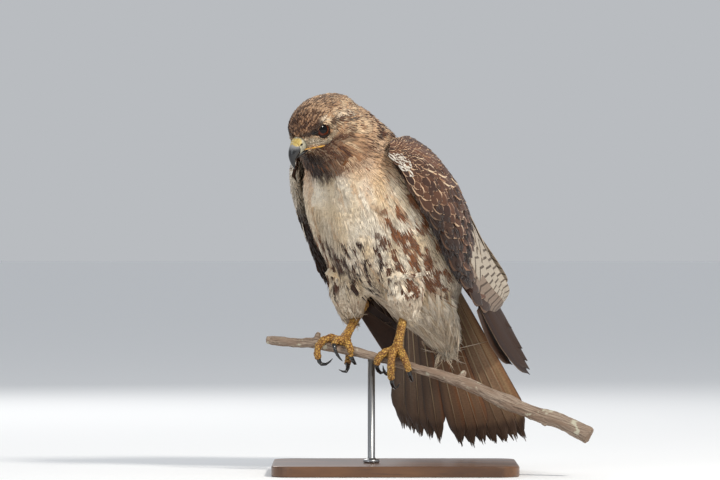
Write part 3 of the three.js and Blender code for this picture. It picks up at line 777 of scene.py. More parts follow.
def vanes(name, spine, spots, rng, grid, profile, thick=0.35, camber=0.14, fray=0.0):
    """A mesh of firm feathers, each a closed cambered blade. grid counts its cells across and
    along, and profile has shares along a feather and its half widths there."""
    across, along = grid
    count = len(spots["width"])
    v = np.linspace(0, 1, along + 1)
    u = np.linspace(-1, 1, across + 1)
    outline = np.interp(v, *profile)
    vv = np.broadcast_to(v[:, None] - 0.07 * (u ** 2)[None] * v[:, None] ** 4,
                         (along + 1, across + 1))
    worn = rng.uniform(0, fray, (count, 1, across + 1)) * ease(v, 0.82, 1)[None, :, None]
    vs = vv[None] * (1 - worn)
    uu = u[None, :] * outline[:, None]
    place, _, side, up = on_spine(spine, vs)
    wide = spots["width"][:, None, None, None] * 0.5
    droop = -camber * (u ** 2)[None, None, :, None] * wide
    tilt = rng.normal(0, 0.05, (count, 1, 1, 1)) * u[None, None, :, None] * wide
    top = place + side * uu[None, ..., None] * wide + up * (droop + tilt)
    low = top - up * thick * MM
    face = (along + 1) * (across + 1)
    points = np.stack([top.reshape(count, face, 3), low.reshape(count, face, 3)], 1)
    index = np.arange(face).reshape(along + 1, across + 1)
    a, b, c, d = index[:-1, :-1], index[:-1, 1:], index[1:, 1:], index[1:, :-1]
    upper = np.stack([d, c, b, a], -1).reshape(-1, 4)
    lower = np.stack([a, b, c, d], -1).reshape(-1, 4) + face
    rim = np.concatenate([index[0], index[1:, -1], index[-1, -2::-1], index[-2:0:-1, 0]])
    nxt = np.roll(rim, -1)
    edge = np.stack([rim, nxt, nxt + face, rim + face], -1)
    quads = np.concatenate([upper, lower, edge])
    first = (np.arange(count) * face * 2)[:, None, None]
    faces = [(first + quads[None]).reshape(-1, 4)]
    flat_u = np.tile(np.concatenate([(u[None] * np.ones((along + 1, 1))).ravel()] * 2), count)
    flat_v = np.tile(np.concatenate([vv.ravel()] * 2), count)
    return feather_mesh(name, points.reshape(-1, 3), faces, flat_u, flat_v, spots, face * 2)


# Surfaces that several pieces lie on, made once
SURFACE = {}
WINGS = ("coverts", "secondaries", "primaries")


def body_mesh():
    if "mesh" not in SURFACE:
        mesh = remeshed(solid_copy(FLESH, 0.4 * MM), 2.0 * MM, "body_surface")
        relax(mesh, 12)
        SURFACE["mesh"] = mesh
        SURFACE["body"] = tree_of(mesh)
        for name in FLESH:
            SURFACE[name] = one_tree([name])
        SURFACE["wings"] = one_tree([f"wing_{s}_{p}" for s in SIDES.values() for p in WINGS])
        SURFACE["bill"] = one_tree(["cere", "bill_upper", "bill_lower"])
    return SURFACE["mesh"]


def one_tree(names):
    bm = solid_copy(names)
    tree = BVHTree.FromBMesh(bm)
    bm.free()
    return tree


def on_head(points, inset=0.0):
    x, y, z = to_head(points).T
    return (x > HEAD_BACK + inset) & (y ** 2 + z ** 2 < (HEAD_GIRTH - inset) ** 2)


def body_spots(spacing, keep, rng):
    """Feather places on the flesh, clear of the wings, with their region."""
    mesh = body_mesh()
    found = scatter(mesh, spacing, rng, keep)
    place, normal, _ = snap(SURFACE["body"], found)
    gaps = np.stack([snap(SURFACE[name], place)[2] for name in FLESH], 1)
    under_wing = snap(SURFACE["wings"], place)[2] < 0.2 * MM
    good = (gaps.min(1) < 3.5 * MM) & ~under_wing
    region = gaps.argmin(1)
    return place[good], normal[good], region[good]


def cylinder_map(share, angle):
    return np.stack([0.01 + 0.97 * share, 0.01 + 0.97 * ((angle / 360) % 1)], 1)


def pick(spots, chosen):
    return {key: value[chosen] for key, value in spots.items()}


def build_skin(depth):
    mesh = body_mesh().copy()
    mesh.name = "skin"
    co = coordinates(mesh)
    head = to_head(co)
    bird = to_bird(co)
    face = ease(head[:, 0], -50, -5)
    near_foot = 1 - ease(bird[:, 2], 34, 60)
    shrink = depth * (1 - 0.78 * face) * (1 - 0.5 * near_foot)
    move_to(mesh, co - normals(mesh) * shrink[:, None])
    relax(mesh, 2, 0.4)
    rng = np.random.default_rng(SEED)
    ground, _, _ = body_colours(bird, rng)
    head_ground, _, _ = head_colours(head, rng)
    hooded = on_head(co)[:, None]
    ground = np.where(hooded, head_ground, ground) * 0.85
    add_attribute(mesh, "ground", ground)
    smooth_shade(mesh)
    return put(mesh, "skin")


def skin_finish():
    s = Shader("down_and_skin")
    down = s.noise(700.0, 4.0)
    tint = s.shade(s.tint("ground"), s.ramp(down, 0.2, 0.8, 0.75, 1.1))
    s.set(Base_Color=tint, Roughness=0.9, Specular_IOR_Level=0.15)
    s.bump(down, 0.5, 0.0008)
    return s.material


def build_body_coat(sizes):
    rng = np.random.default_rng(SEED + 1)
    place, normal, region = body_spots(sizes.body_spacing, lambda p: ~on_head(p, 12.0), rng)
    bird = to_bird(place)
    share, angle, way = along_body(bird)
    n = len(place)
    turn = np.abs(angle)
    thigh = region >= THIGHS
    rump = region == RUMP
    down = np.array([-0.22, 0.0, -1.0])
    leg_share = thigh * ease(-bird[:, 2], -104, -74)
    lie = blend(way, down, leg_share)
    breeze = ease(share, 0.5, 0.9)[:, None] * np.array([0.0, 0.28, 0.0])
    sway = np.stack([ripple(bird, 9, k) for k in (31, 32, 33)], 1)
    lie = lie + breeze + 0.13 * sway + rng.normal(0, 0.045, (n, 3))
    back = ease(turn, 95, 120)
    length = 15 + 15 * ease(share, 0.1, 0.3) + 6 * ease(share, 0.7, 0.95)
    length = np.where(thigh, 19.0, length) * rng.uniform(0.85, 1.25, n)
    width = (6.0 + 2.0 * ease(share, 0.12, 0.4)) * (1 + 0.8 * back) * rng.uniform(0.85, 1.2, n)
    width = np.where(thigh, 6.5, width)
    tips = bird + unit(lie) * length[:, None] * 0.9
    ground, mark, shape = body_colours(tips, rng)
    head = (bird - BETWEEN_EYES) @ HEAD_ROT
    head_ground, _, _ = head_colours((tips - BETWEEN_EYES) @ HEAD_ROT, rng)
    close = 1 - ease(-head[:, 0] + 0.25 * np.abs(head[:, 1]), 38, 56)
    close = close * (1 - ease(np.linalg.norm(head[:, 1:], axis=1), 44, 54))
    close = close * (1 - ease(share, 0.10, 0.16))
    ground = blend(ground, head_ground, close)
    leg = thigh & (bird[:, 2] < 74)
    lower = ease(-bird[:, 2], -100, -60)
    leg_tint = blend(CREAM, colour("C9B295"), lower * 0.6)
    ground = blend(ground, leg_tint, leg_share)
    ground = ground * (1 - 0.17 * thigh * (1 - leg_share))[:, None]
    spotted = rng.random(n) < 0.05
    shape[leg, 0] = np.where(spotted[leg], 0.3, 0.0)
    mark[leg] = RUFOUS
    vent = rump & (turn < 100)
    ground[vent] = blend(CREAM, colour("D9CCB8"), rng.random(vent.sum()))
    shape[vent, 0] = 0.0
    plain = leg | vent | (back > 0.5)
    ground = np.where(plain[:, None], ground, spot_marks(tips, unit(lie), ground, rng))
    spots = {
        "place": place, "normal": normal, "way": bird_way(lie), "length": length * MM,
        "width": width * MM,
        "depth": np.where(thigh, 2.6, sizes.coat_depth / MM * (0.9 - 0.6 * close)) * MM,
        "proud": (rng.uniform(-0.3, 0.8, n) + 0.5 * sway[:, 0]) * MM,
        "ground": ground, "mark": mark, "shape": shape,
        "unwrap": cylinder_map(share, angle), "free": np.where(rump, 0.45, 0.0),
    }
    parts = {
        "coat_neck": region <= NECK,
        "coat_breast": (region == TRUNK) & (turn <= BREAST_TURN),
        "coat_flanks": (region == TRUNK) & (turn > BREAST_TURN),
        "coat_rump": rump,
        "coat_thighs": thigh,
    }
    made = {}
    for name, chosen in parts.items():
        some = pick(spots, chosen)
        spine = spine_of(SURFACE["body"], some)
        mesh = tufts(name, spine, some, 5, (0.0, 0.42, 0.78), rng, thick=0.2, ragged=0.22)
        made[name] = put(mesh, name)
    return made


def build_wisps():
    """Long loose plumes that hang from the flank, the thighs and under the tail."""
    rng = np.random.default_rng(SEED + 2)
    place, normal, region = body_spots(5.6 * MM, lambda p: to_bird(p)[:, 2] < 92, rng)
    bird = to_bird(place)
    share, angle, _ = along_body(bird)
    height = bird[:, 2]
    chosen = (region == RUMP) & (height < 80) & (np.abs(angle) < 72)
    chosen |= (region >= THIGHS) & (height < 60)
    chosen |= (region == TRUNK) & (height < 70)
    place, normal, region = (a[chosen] for a in (place, normal, region))
    n = len(place)
    leg = region >= THIGHS
    lie = np.array([-0.3, 0.1, -1.0]) + rng.normal(0, 0.09, (n, 3))
    ground = blend(CREAM, colour("BFA888"), rng.random(n) ** 1.5)
    spots = {
        "place": place, "normal": normal, "way": bird_way(lie),
        "length": np.where(leg, rng.uniform(14, 24, n), rng.uniform(26, 58, n)) * MM,
        "width": rng.uniform(4, 8, n) * MM, "depth": np.full(n, 2.0) * MM,
        "proud": rng.uniform(0.0, 1.2, n) * MM, "ground": ground, "mark": ground,
        "shape": np.zeros((n, 3)), "unwrap": cylinder_map(share[chosen], angle[chosen]),
        "free": rng.uniform(0.25, 0.7, n),
    }
    spine = spine_of(SURFACE["body"], spots)
    mesh = tufts("wisps", spine, spots, 5, (0.0, 0.3, 0.6, 0.85), rng, thick=0.25, ragged=0.4)
    return put(mesh, "coat_wisps")


def build_head_coat(sizes):
    rng = np.random.default_rng(SEED + 3)
    place, normal, region = body_spots(sizes.head_spacing, lambda p: to_head(p)[:, 0] > -52, rng)
    head = to_head(place)
    x, y, z = head.T
    ring = np.hypot((x - 2) / 10.4, (z - 0.6) / 8.0) + (np.abs(y) < 12) * 9
    clear = snap(SURFACE["bill"], place)[2] > 0.5 * MM
    chosen = (ring >= 1) & clear & (on_head(place) | (region == HEAD))
    place, normal, head, ring = (a[chosen] for a in (place, normal, head, ring))
    x, y, z = head.T
    n = len(place)
    beside_eye = (1 - ease(ring, 1.1, 1.7)) * ease(x, -4, 8)
    lie = np.stack([-np.ones(n), np.zeros(n), -0.35 * ease(-z, -2, 12) - 0.1], 1)
    lie[:, 1] += 0.25 * np.sign(y) * ease(-z, -5, 5)
    lie[:, 2] += beside_eye * np.sign(z - 0.6) * 1.7
    lie += rng.normal(0, 0.1, (n, 3))
    small = ease(x, -30, 16)
    length = (10.5 - 6.4 * small) * rng.uniform(0.85, 1.2, n) * (1 - 0.3 * beside_eye)
    ground, mark, shape = head_colours(head + unit(lie) * length[:, None] * 0.55, rng)
    spots = {
        "place": place, "normal": normal, "way": head_way(lie), "length": length * MM,
        "width": (4.4 - 2.0 * small) * MM, "depth": (1.5 - 0.9 * small) * MM,
        "proud": rng.uniform(0.0, 0.5, n) * MM, "ground": ground, "mark": mark, "shape": shape,
        "unwrap": cylinder_map(np.clip((x + 62) / 95, 0, 1), np.degrees(np.arctan2(y, z))),
    }
    made = {}
    for name, chosen in (("coat_head_left", y >= 0), ("coat_head_right", y < 0)):
        some = pick(spots, chosen)
        spine = spine_of(SURFACE["body"], some)
        mesh = tufts(name, spine, some, 3, (0.0, 0.55), rng, thick=0.14)
        made[name] = put(mesh, name)
    return made


# Wings
WING_LINES = np.array([
    [[62, 64, 220], [57, 62, 228], [48, 56, 234]],
    [[52, 78, 203], [40, 77, 224], [22, 54, 240]],
    [[28, 87, 172], [4, 89, 209], [-24, 44, 240]],
    [[-4, 92, 136], [-38, 91, 187], [-70, 30, 227]],
    [[-37, 94, 95], [-80, 85, 152], [-114, 26, 184]],
    [[-79, 89, 66], [-118, 75, 113], [-148, 30, 144]],
    [[-116, 82, 46], [-152, 75, 85], [-178, 43, 103]],
    [[-148, 76, 42], [-176, 70, 68], [-194, 54, 80]],
    [[-166, 70, 50], [-186, 64, 58], [-198, 57, 66]],
], float)
RIGHT_WING_SHIFT = np.array([-8.0, -3.0, -8.0])
MIRROR = np.array([1, -1, 1])
ARM_END = np.array([-138.0, 66.0, 98.0])
ARM_END_WAY = (-0.75, 0.0, -0.66)
LINING_GAP = 5.0 * MM
RIGHT_TIPS_IN = 14


def to_wing(points, side):
    """Places on the left wing, moved to the same places of the wing on one side."""
    return points if side > 0 else (points + RIGHT_WING_SHIFT) * MIRROR


def wing_point(s, t):
    """Places on the folded left wing: s from wrist to tip and t from front edge to back."""
    k = np.clip(s * 8, 0, 7.999)
    i = k.astype(int)
    f = (k - i)[:, None, None]
    row = WING_LINES[i] * (1 - f) + WING_LINES[i + 1] * f
    lead, middle, trail = row[:, 0], row[:, 1], row[:, 2]
    bend = 2 * middle - (lead + trail) / 2
    t = t[:, None]
    return lead * (1 - t) ** 2 + bend * 2 * t * (1 - t) + trail * t ** 2


def wing_colours(s, t, rng, side):
    """Edge colour, centre colour and mark shape for the small feathers of a wing."""
    n = len(s)
    edge = blend(colour("8A6046"), colour("DDBB98"), rng.random(n) ** 0.8)
    centre = blend(colour("35211A"), colour("5A3A28"), rng.random(n))
    patchy = ripple(np.stack([s * 9, t * 5, t], 1), 1)
    centre = blend(centre, colour("7A5440"), 0.5 * ease(patchy, 0.3, 1))
    # Nearly black feather centres and dark brown edges towards the wing's front edge: painted
    # shade where the folded wing meets the breast
    front = 1 - ease(t + 0.02 * rng.normal(size=n), 0.05, 0.13)
    centre = blend(centre, PAINTED_SHADE_BLACK, front * ease(s, 0.2, 0.3) * 0.8)
    edge = blend(edge, colour("4A2E1F"), front * ease(s, 0.2, 0.3) * 0.9)
    if side < 0:
        inner = (1 - ease(t, 0.12, 0.3)) * (1 - ease(s, 0.28, 0.42))
        centre = blend(centre, colour("A99C8A"), inner * 0.9)
        edge = blend(edge, colour("D5C9B8"), inner * 0.9)
    wrist = (1 - ease(s, 0.05, 0.20)) * (1 - ease(t, 0.14, 0.34))
    pale = rng.random(n) < wrist * 0.85
    edge[pale] = colour("D5CDC0")
    centre[pale] = colour("5E4638")
    wide = rng.uniform(0.80, 0.92, n)
    wide[pale] = rng.uniform(0.2, 0.62, pale.sum())
    mottled = (rng.random(n) < 0.16) & (t > 0.3) & (s > 0.08)
    edge[mottled] = colour("DCC3A4")
    wide[mottled] = rng.uniform(0.7, 0.82, mottled.sum())
    shape = np.stack([wide, np.full(n, -1.0), rng.uniform(0.93, 0.98, n)], 1)
    return edge, centre, shape


def covert_rows(spacing, rng):
    """Shares along and across the wing of its small feathers, in staggered rows."""
    found = []
    s = 0.004
    row = 0
    while s < 0.66:
        step = spacing * (0.55 + 1.35 * ease(s, 0.02, 0.3) + 0.7 * ease(s, 0.35, 0.6))
        line = wing_point(np.full(24, s), np.linspace(0, 1, 24))
        arc = np.linalg.norm(np.diff(line, axis=0), axis=1).sum()
        count = max(3, int(arc / (step * 0.80)))
        t = (np.arange(count) + 0.25 + 0.5 * (row % 2)) / count
        found.append(np.stack([np.full(count, s), t, np.full(count, step)], 1))
        s += step / 310
        row += 1
    found = np.concatenate(found)
    found[:, 0] += rng.normal(0, 0.006, len(found))
    found[:, 1] = np.clip(found[:, 1] + rng.normal(0, 0.012, len(found)), 0, 1)
    return found.T


def clip_arm(mesh, side):
    """Ends the wing's flesh where its long feathers run on alone."""
    point = from_bird(ARM_END * [1, side, 1])
    bm = bmesh.new()
    bm.from_mesh(mesh)
    whole = bm.verts[:] + bm.edges[:] + bm.faces[:]
    bmesh.ops.bisect_plane(bm, geom=whole, plane_co=Vector(point),
                           plane_no=Vector(bird_way(ARM_END_WAY)), clear_outer=True)
    bmesh.ops.holes_fill(bm, edges=[e for e in bm.edges if e.is_boundary])
    bmesh.ops.triangulate(bm, faces=[f for f in bm.faces if len(f.verts) > 4])
    bm.to_mesh(mesh)
    bm.free()


def build_lining(name, side, mesh, tree, coverts, rng):
    """Soft feathers on the parts of a wing's arm that its coverts leave bare."""
    found = scatter(mesh, 4.6 * MM, rng)
    found = found[snap(SURFACE["body"], found)[2] > 1.5 * MM]
    bare = np.ones(len(found), bool)
    for first in range(0, len(found), 500):
        some = slice(first, first + 500)
        gap = np.sum((found[some, None] - coverts[None]) ** 2, 2).min(1)
        bare[some] = gap > LINING_GAP ** 2
    bare &= to_bird(found)[:, 2] > 84
    place, normal, _ = snap(tree, found[bare])
    bird = to_bird(place)
    n = len(place)
    # Nearly black low on the wing's arm and lighter above: the dark is painted shade by the wing's
    # front edge
    high = ease(bird[:, 2], 150, 185)
    ground = blend(colour("2B1B14"), colour("B5A997") if side < 0 else colour("5A3C2A"), high)
    lie = np.array([-0.62, 0.05 * side, -0.78]) + rng.normal(0, 0.06, (n, 3))
    spots = {
        "place": place, "normal": normal, "way": bird_way(lie),
        "length": rng.uniform(13, 20, n) * MM, "width": rng.uniform(6, 8, n) * MM,
        "depth": np.full(n, 1.2) * MM, "proud": rng.uniform(0, 0.5, n) * MM,
        "ground": ground * rng.uniform(0.85, 1.1, (n, 1)), "mark": ground,
        "shape": np.zeros((n, 3)),
        "unwrap": np.stack([0.01 + 0.9 * ease(-bird[:, 0], -70, 170),
                            0.01 + 0.9 * ease(bird[:, 2], 30, 250)], 1),
    }
    mesh = tufts("lining", spine_of(tree, spots), spots, 3, (0.0, 0.55), rng, thick=0.2)
    return put(mesh, f"wing_{name}_lining")


def build_wing(side, sizes):
    """The folded wing's own flesh, its small feathers and the soft feathers on its bare parts."""
    name = SIDES[side]
    rng = np.random.default_rng(SEED + (5 if side > 0 else 6))
    nodes = [f"wing_{name}_coverts", f"wing_{name}_secondaries"]
    mesh = remeshed(solid_copy(nodes, 0.3 * MM), 1.8 * MM, f"wing_{name}_arm")
    relax(mesh, 3)
    tree = tree_of(mesh)
    s, t, step = covert_rows(sizes.covert_spacing / MM, rng)
    n = len(s)
    flat = wing_point(np.clip(s, 0, 1), t)
    ahead = unit(wing_point(np.clip(s + 0.04, 0, 1), t) - wing_point(np.clip(s - 0.02, 0, 1), t))
    ahead += rng.normal(0, 0.04, (n, 3))
    ahead = ahead * [1, side, 1]
    place, normal, _ = snap(tree, from_bird(to_wing(flat, side)))
    edge, centre, shape = wing_colours(s, t, rng, side)
    spots = {
        "place": place, "normal": normal, "way": bird_way(ahead),
        "length": step * rng.uniform(2.6, 3.1, n) * MM,
        "width": step * rng.uniform(1.25, 1.5, n) * MM,
        "depth": (0.8 + 1.2 * ease(s, 0.02, 0.3)) * MM, "proud": rng.uniform(0.2, 0.8, n) * MM,
        "ground": edge, "mark": centre, "shape": shape,
        "unwrap": np.stack([0.01 + 0.97 * s, 0.01 + 0.97 * t], 1),
    }
    pointed = ([0, 0.4, 0.66, 0.84, 0.95, 1], [0.5, 0.95, 1.0, 0.82, 0.5, 0.16])
    coverts = vanes(f"coverts_{name}", spine_of(tree, spots), spots, rng, (4, 6), pointed)
    lining = build_lining(name, side, mesh, tree, place, rng)
    move_to(mesh, coordinates(mesh) - normals(mesh) * 1.6 * MM)
    clip_arm(mesh, side)
    add_attribute(mesh, "ground", np.tile(colour("36231A"), (len(mesh.vertices), 1)))
    smooth_shade(mesh)
    return put(mesh, mesh.name), put(coverts, f"wing_{name}_coverts_coat"), lining, tree


def long_feather_spots(rows):
    """Spots and spines for long feathers given as rows of a dictionary."""
    keys = ("root", "half", "tip", "up", "up_tip", "width", "ground", "mark", "shape")
    parts = {key: np.array([row[key] for row in rows], float) for key in keys}
    n = len(rows)
    cell = 0.98 / n
    spots = {key: parts[key] for key in ("width", "ground", "mark", "shape")}
    spots["unwrap"] = np.stack([np.arange(n) * cell, np.full(n, 0.01)], 1)
    spots["patch"] = np.array([cell * 0.9, 0.97])
    spine = tuple(parts[key] for key in ("root", "half", "tip", "up", "up_tip"))
    return spots, spine


def quill_spots(spots, spine, width, lift):
    """Spots and spines of the shafts that lie lift metres over one face of long feathers."""
    shafts = dict(spots)
    shafts["width"] = np.full(len(spots["width"]), width)
    shafts["mark"] = shafts["ground"]
    shafts["shape"] = np.zeros_like(spots["shape"])
    root, half, tip, up, up_tip = spine
    raised = (root + up * lift, half + up * lift, tip + (half - tip) * 0.05 + up_tip * lift,
              up, up_tip)
    return shafts, raised


def build_long_wing(side, tree):
    """Secondaries along the back of the folded wing, then the primaries past them."""
    name = SIDES[side]
    rng = np.random.default_rng(SEED + (7 if side > 0 else 8))

    def place(points):
        return from_bird(to_wing(np.array(points, float), side))

    def way(vector):
        return bird_way(unit(np.array(vector, float) * [1, side, 1]))

    rows = []
    count = 9
    for i in range(count):
        t = 0.12 + 0.8 * i / (count - 1)
        ends = wing_point(np.array([0.5, 0.74, 0.985 - 0.06 * abs(t - 0.45)]), np.full(3, t))
        spots_on, ups, _ = snap(tree, place(ends))
        lift = (0.5 + 0.35 * i) * MM
        light = colour("B5A999") if side > 0 else colour("6B5546")
        pale = ease(t, 0.05, 0.2)
        rows.append({
            "root": spots_on[0] - ups[0] * 1.5 * MM, "half": spots_on[1] + ups[1] * lift,
            "tip": spots_on[2] + ups[2] * lift, "up": ups[0], "up_tip": ups[2],
            "width": 0.026,
            "ground": np.array(light) * pale + np.array(BROWN) * (1 - pale),
            "mark": colour("463930") if side > 0 else DARK, "shape": (0.0, 0.3, 0.9)})
    spots, spine = long_feather_spots(rows)
    v = np.linspace(0, 1, 23)
    rounded = np.sqrt(np.clip(1 - np.clip((v - 0.62) / 0.38, 0, 1) ** 2.6, 0, 1))
    rounded = rounded * (0.8 + 0.2 * ease(v, 0, 0.5))
    rounded[-1] = 0.3
    secondaries = vanes(f"secondaries_{name}", spine, spots, rng, (12, 22), (v, rounded), 0.5,
                        0.1, 0.03)

    rows = []
    tips = [(-240, 67, -26), (-236, 69, -20), (-229, 70, -10), (-216, 71, 4), (-196, 70, -14),
            (-192, 71, 28)]
    roots = [(-110, 78, 58), (-116, 78, 64), (-120, 76, 70), (-124, 74, 78), (-104, 80, 52),
             (-130, 72, 84)]
    for i, (root, tip) in enumerate(zip(roots, tips)):
        tip = np.array(tip) - [0, RIGHT_TIPS_IN * (side < 0), 0]
        half = (np.array(root) + tip) / 2 + [0, 1.5 - 0.9 * i, -4]
        ground = colour("3B281D") if i else colour("33221A")
        rows.append({
            "root": place(root), "half": place(half), "tip": place(tip),
            "up": way((-0.15, 1, 0.25)), "up_tip": way((-0.2, 1, 0.35)),
            "width": 0.034 if i < 2 else 0.029,
            "ground": ground, "mark": colour("271B15"), "shape": (0.0, 0.3, 0.9)})
    spots, spine = long_feather_spots(rows)
    narrow = ([0, 0.4, 0.6, 0.78, 0.9, 0.97, 1], [0.35, 1.0, 0.95, 0.76, 0.5, 0.24, 0.04])
    primaries = vanes(f"primaries_{name}", spine, spots, rng, (12, 26), narrow, 0.5, 0.12, 0.004)
    return (put(secondaries, f"wing_{name}_secondary_vanes"),
            put(primaries, f"wing_{name}_primary_vanes"))


# Tail, from the same driving sizes as the solid one
TAIL_ROOT = np.array([-116.0, -1.0, 84.0])
TAIL_TIP = np.array([-176.0, 14.0, -111.0])
TAIL_YAW = math.radians(9)
RECTRICES = ((-13, 5), (-11, 4), (-9, 3), (-6.8, 2), (-4.6, 1), (0.4, 0), (2.8, 1), (5.2, 2),
             (7.6, 3), (10, 4), (12.2, 5), (14.2, 6))


def build_tail():
    rng = np.random.default_rng(SEED + 9)
    axis = TAIL_TIP - TAIL_ROOT
    reach = np.linalg.norm(axis)
    axis = axis / reach
    left = np.array([-math.sin(TAIL_YAW), math.cos(TAIL_YAW), 0])
    left = unit(left - axis * (left @ axis))
    front = np.cross(left, axis)
    rows = []
    for spread, layer in RECTRICES:
        beside_gap = -5 < spread < 1
        turn = math.radians(spread)
        along = axis * math.cos(turn) + left * math.sin(turn)
        length = reach + spread * (1.7 if spread < 0 else 0.5)
        start = TAIL_ROOT + left * spread * 1.9 + front * layer * 0.95
        outer = abs(spread) / 14
        # Feathers on the side of negative spread get a darker ground and pale less towards the
        # outside: painted shade on that half of the tail, with the other half lit
        shade = colour("5C4A3C") if spread < 0 else colour("7A5B42")
        ground = blend([shade], [colour("9A7F64")], [outer * (0.3 if spread < 0 else 0.7)])[0]
        ground = ground * rng.uniform(0.72, 1.2)
        if spread > 14:
            ground = np.array(colour("A88965"))
        rows.append({
            "root": from_bird(start), "half": from_bird(start + along * length * 0.5),
            "tip": from_bird(start + along * (length - 1)),
            "up": bird_way(-front + left * turn * 0.4), "up_tip": bird_way(-front),
            "width": 0.025 if beside_gap else 0.034, "ground": ground,
            "mark": colour("2A1B13"),
            "shape": (0.0, 0.8, 0.9)})
    spots, spine = long_feather_spots(rows)
    profile = ([0, 0.45, 0.8, 0.92, 1], [0.3, 0.72, 1.0, 0.84, 0.34])
    mesh = vanes("tail", spine, spots, rng, (22, 30), profile, 0.6, 0.07, 0.06)
    redden(mesh, len(rows))
    return put(mesh, "tail_vanes"), spots, spine


def redden(mesh, count):
    """Turns the upper face of each tail feather rufous."""
    layer = mesh.attributes["ground"]
    values = np.empty(len(mesh.vertices) * 4, np.float32)
    layer.data.foreach_get("color", values)
    faces = values.reshape(count, 2, -1, 4)
    faces[:, 1, :, :3] = faces[:, 1, :, :3] * 0.25 + np.array(colour("B4582A"))[:3] * 0.75
    layer.data.foreach_set("color", values)


# Face
def build_eye(side):
    """The eyeball, with a map from the middle of its pupil outwards."""
    bm = bmesh.new()
    bmesh.ops.create_uvsphere(bm, u_segments=48, v_segments=32, radius=EYE_RADIUS * MM)
    mesh = mesh_from(bm, "eye")
    local = coordinates(mesh) / (EYE_RADIUS * MM)
    gaze = unit(np.array([0.30, 0.90 * side, 0.30]))
    swing = np.degrees(np.arccos(np.clip(local @ gaze, -1, 1))) / 90
    centre = from_head([[EYE_AHEAD, side * EYE_SIDE, 0]])
    move_to(mesh, centre + head_way(local) * EYE_RADIUS * MM)
    layer = mesh.uv_layers.new(name="Gaze")
    loops = np.empty(len(mesh.loops), np.int64)
    mesh.loops.foreach_get("vertex_index", loops)
    turn = np.arctan2(local[:, 2], local[:, 0]) / 6.283 + 0.5
    layer.data.foreach_set("uv", np.stack([swing, turn], 1)[loops].astype(np.float32).ravel())
    smooth_shade(mesh)
    return put(mesh, f"eyeball_{SIDES[side]}")


def eye_finish():
    s = Shader("wet_eye")
    where = s.node("ShaderNodeUVMap", uv_map="Gaze").outputs[0]
    swing = s.parts(where)[0]
    fleck = s.noise(900.0, 3.0)
    iris = s.mix(s.ramp(fleck, 0.3, 0.7), colour("34150B"), colour("642C15"))
    iris = s.mix(s.ramp(swing, 0.58, 0.70), iris, colour("1A0B07"))
    tint = s.mix(s.ramp(swing, 0.33, 0.37), colour("040303"), iris)
    s.set(Base_Color=tint, Roughness=0.05, Specular_IOR_Level=0.22)
    return s.material


def ring_tube(points, radii, closed=False):
    """Points and faces of a round tube along a path. A closed one has its two ends joined."""
    sides = 8
    n = len(points)
    radii = np.broadcast_to(np.asarray(radii, float), (n,))
    if closed:
        way = unit(np.roll(points, -1, 0) - np.roll(points, 1, 0))
    else:
        way = unit(np.gradient(points, axis=0))
    hint = np.array([0.13, 0.21, 0.97])
    side = unit(np.cross(way, hint))
    up = np.cross(side, way)
    turn = np.linspace(0, 2 * np.pi, sides, endpoint=False)
    ring = (points[:, None] + radii[:, None, None] * (
        side[:, None] * np.cos(turn)[None, :, None] + up[:, None] * np.sin(turn)[None, :, None]))
    index = np.arange(n * sides).reshape(n, sides)
    a, b = (index, np.roll(index, -1, 0)) if closed else (index[:-1], index[1:])
    quads = np.stack([a, b, np.roll(b, -1, 1), np.roll(a, -1, 1)], -1).reshape(-1, 4)
    ends = [] if closed else [index[0][None, :], index[-1][::-1][None, :]]
    return ring.reshape(-1, 3), [quads, *ends]


def joined(parts):
    """Points and faces of several tubes as one set."""
    points = np.concatenate([p for p, _ in parts])
    faces = []
    start = 0
    for p, some in parts:
        faces += [f + start for f in some]
        start += len(p)
    return points, faces


def build_lids():
    """A rim round each eye, thicker above, and a ring of bare skin outside it."""
    parts = []
    turn = np.linspace(0, 2 * np.pi, 40, endpoint=False)
    for side in (1, -1):
        high = np.sin(turn)
        x = 1.7 + np.where(np.cos(turn) > 0, 9.6, 8.6) * np.cos(turn)
        z = 0.4 + np.where(high > 0, 6.3, 6.2) * high
        far = np.sqrt(np.maximum(9.7 ** 2 - (x - EYE_AHEAD) ** 2 - z ** 2, 20))
        rim = np.stack([x, side * (EYE_SIDE + far), z], 1)
        parts.append(ring_tube(from_head(rim), (0.7 + 0.5 * np.maximum(high, 0)) * MM, True))
        outer = rim.copy()
        outer[:, 0] = 1.7 + np.where(np.cos(turn) > 0, 10.9, 9.7) * np.cos(turn)
        outer[:, 2] = 0.4 + np.where(high > 0, 8.2, 7.4) * high
        outer[:, 1] = side * (EYE_SIDE + np.sqrt(np.maximum(
            9.9 ** 2 - (outer[:, 0] - EYE_AHEAD) ** 2 - outer[:, 2] ** 2, 14)) + 0.4)
        parts.append(ring_tube(from_head(outer), 1.35 * MM, True))
    points, faces = joined(parts)
    mesh = array_mesh("lids", points, faces, {}, {})
    return put(mesh, "eyelids")


def lid_finish():
    s = Shader("lid_skin")
    s.set(Base_Color=s.mix(s.noise(800.0), colour("120C0A"), colour("2A1D16")), Roughness=0.6,
          Specular_IOR_Level=0.2)
    s.bump(s.noise(1400.0, 3.0), 0.4, 0.0004)
    return s.material


# In the head's own frame, in millimetres
NOSTRIL = (27.8, 7.6, -4.6)
MOUTH_CLOSING = (-1.0, 0.0, 4.2)


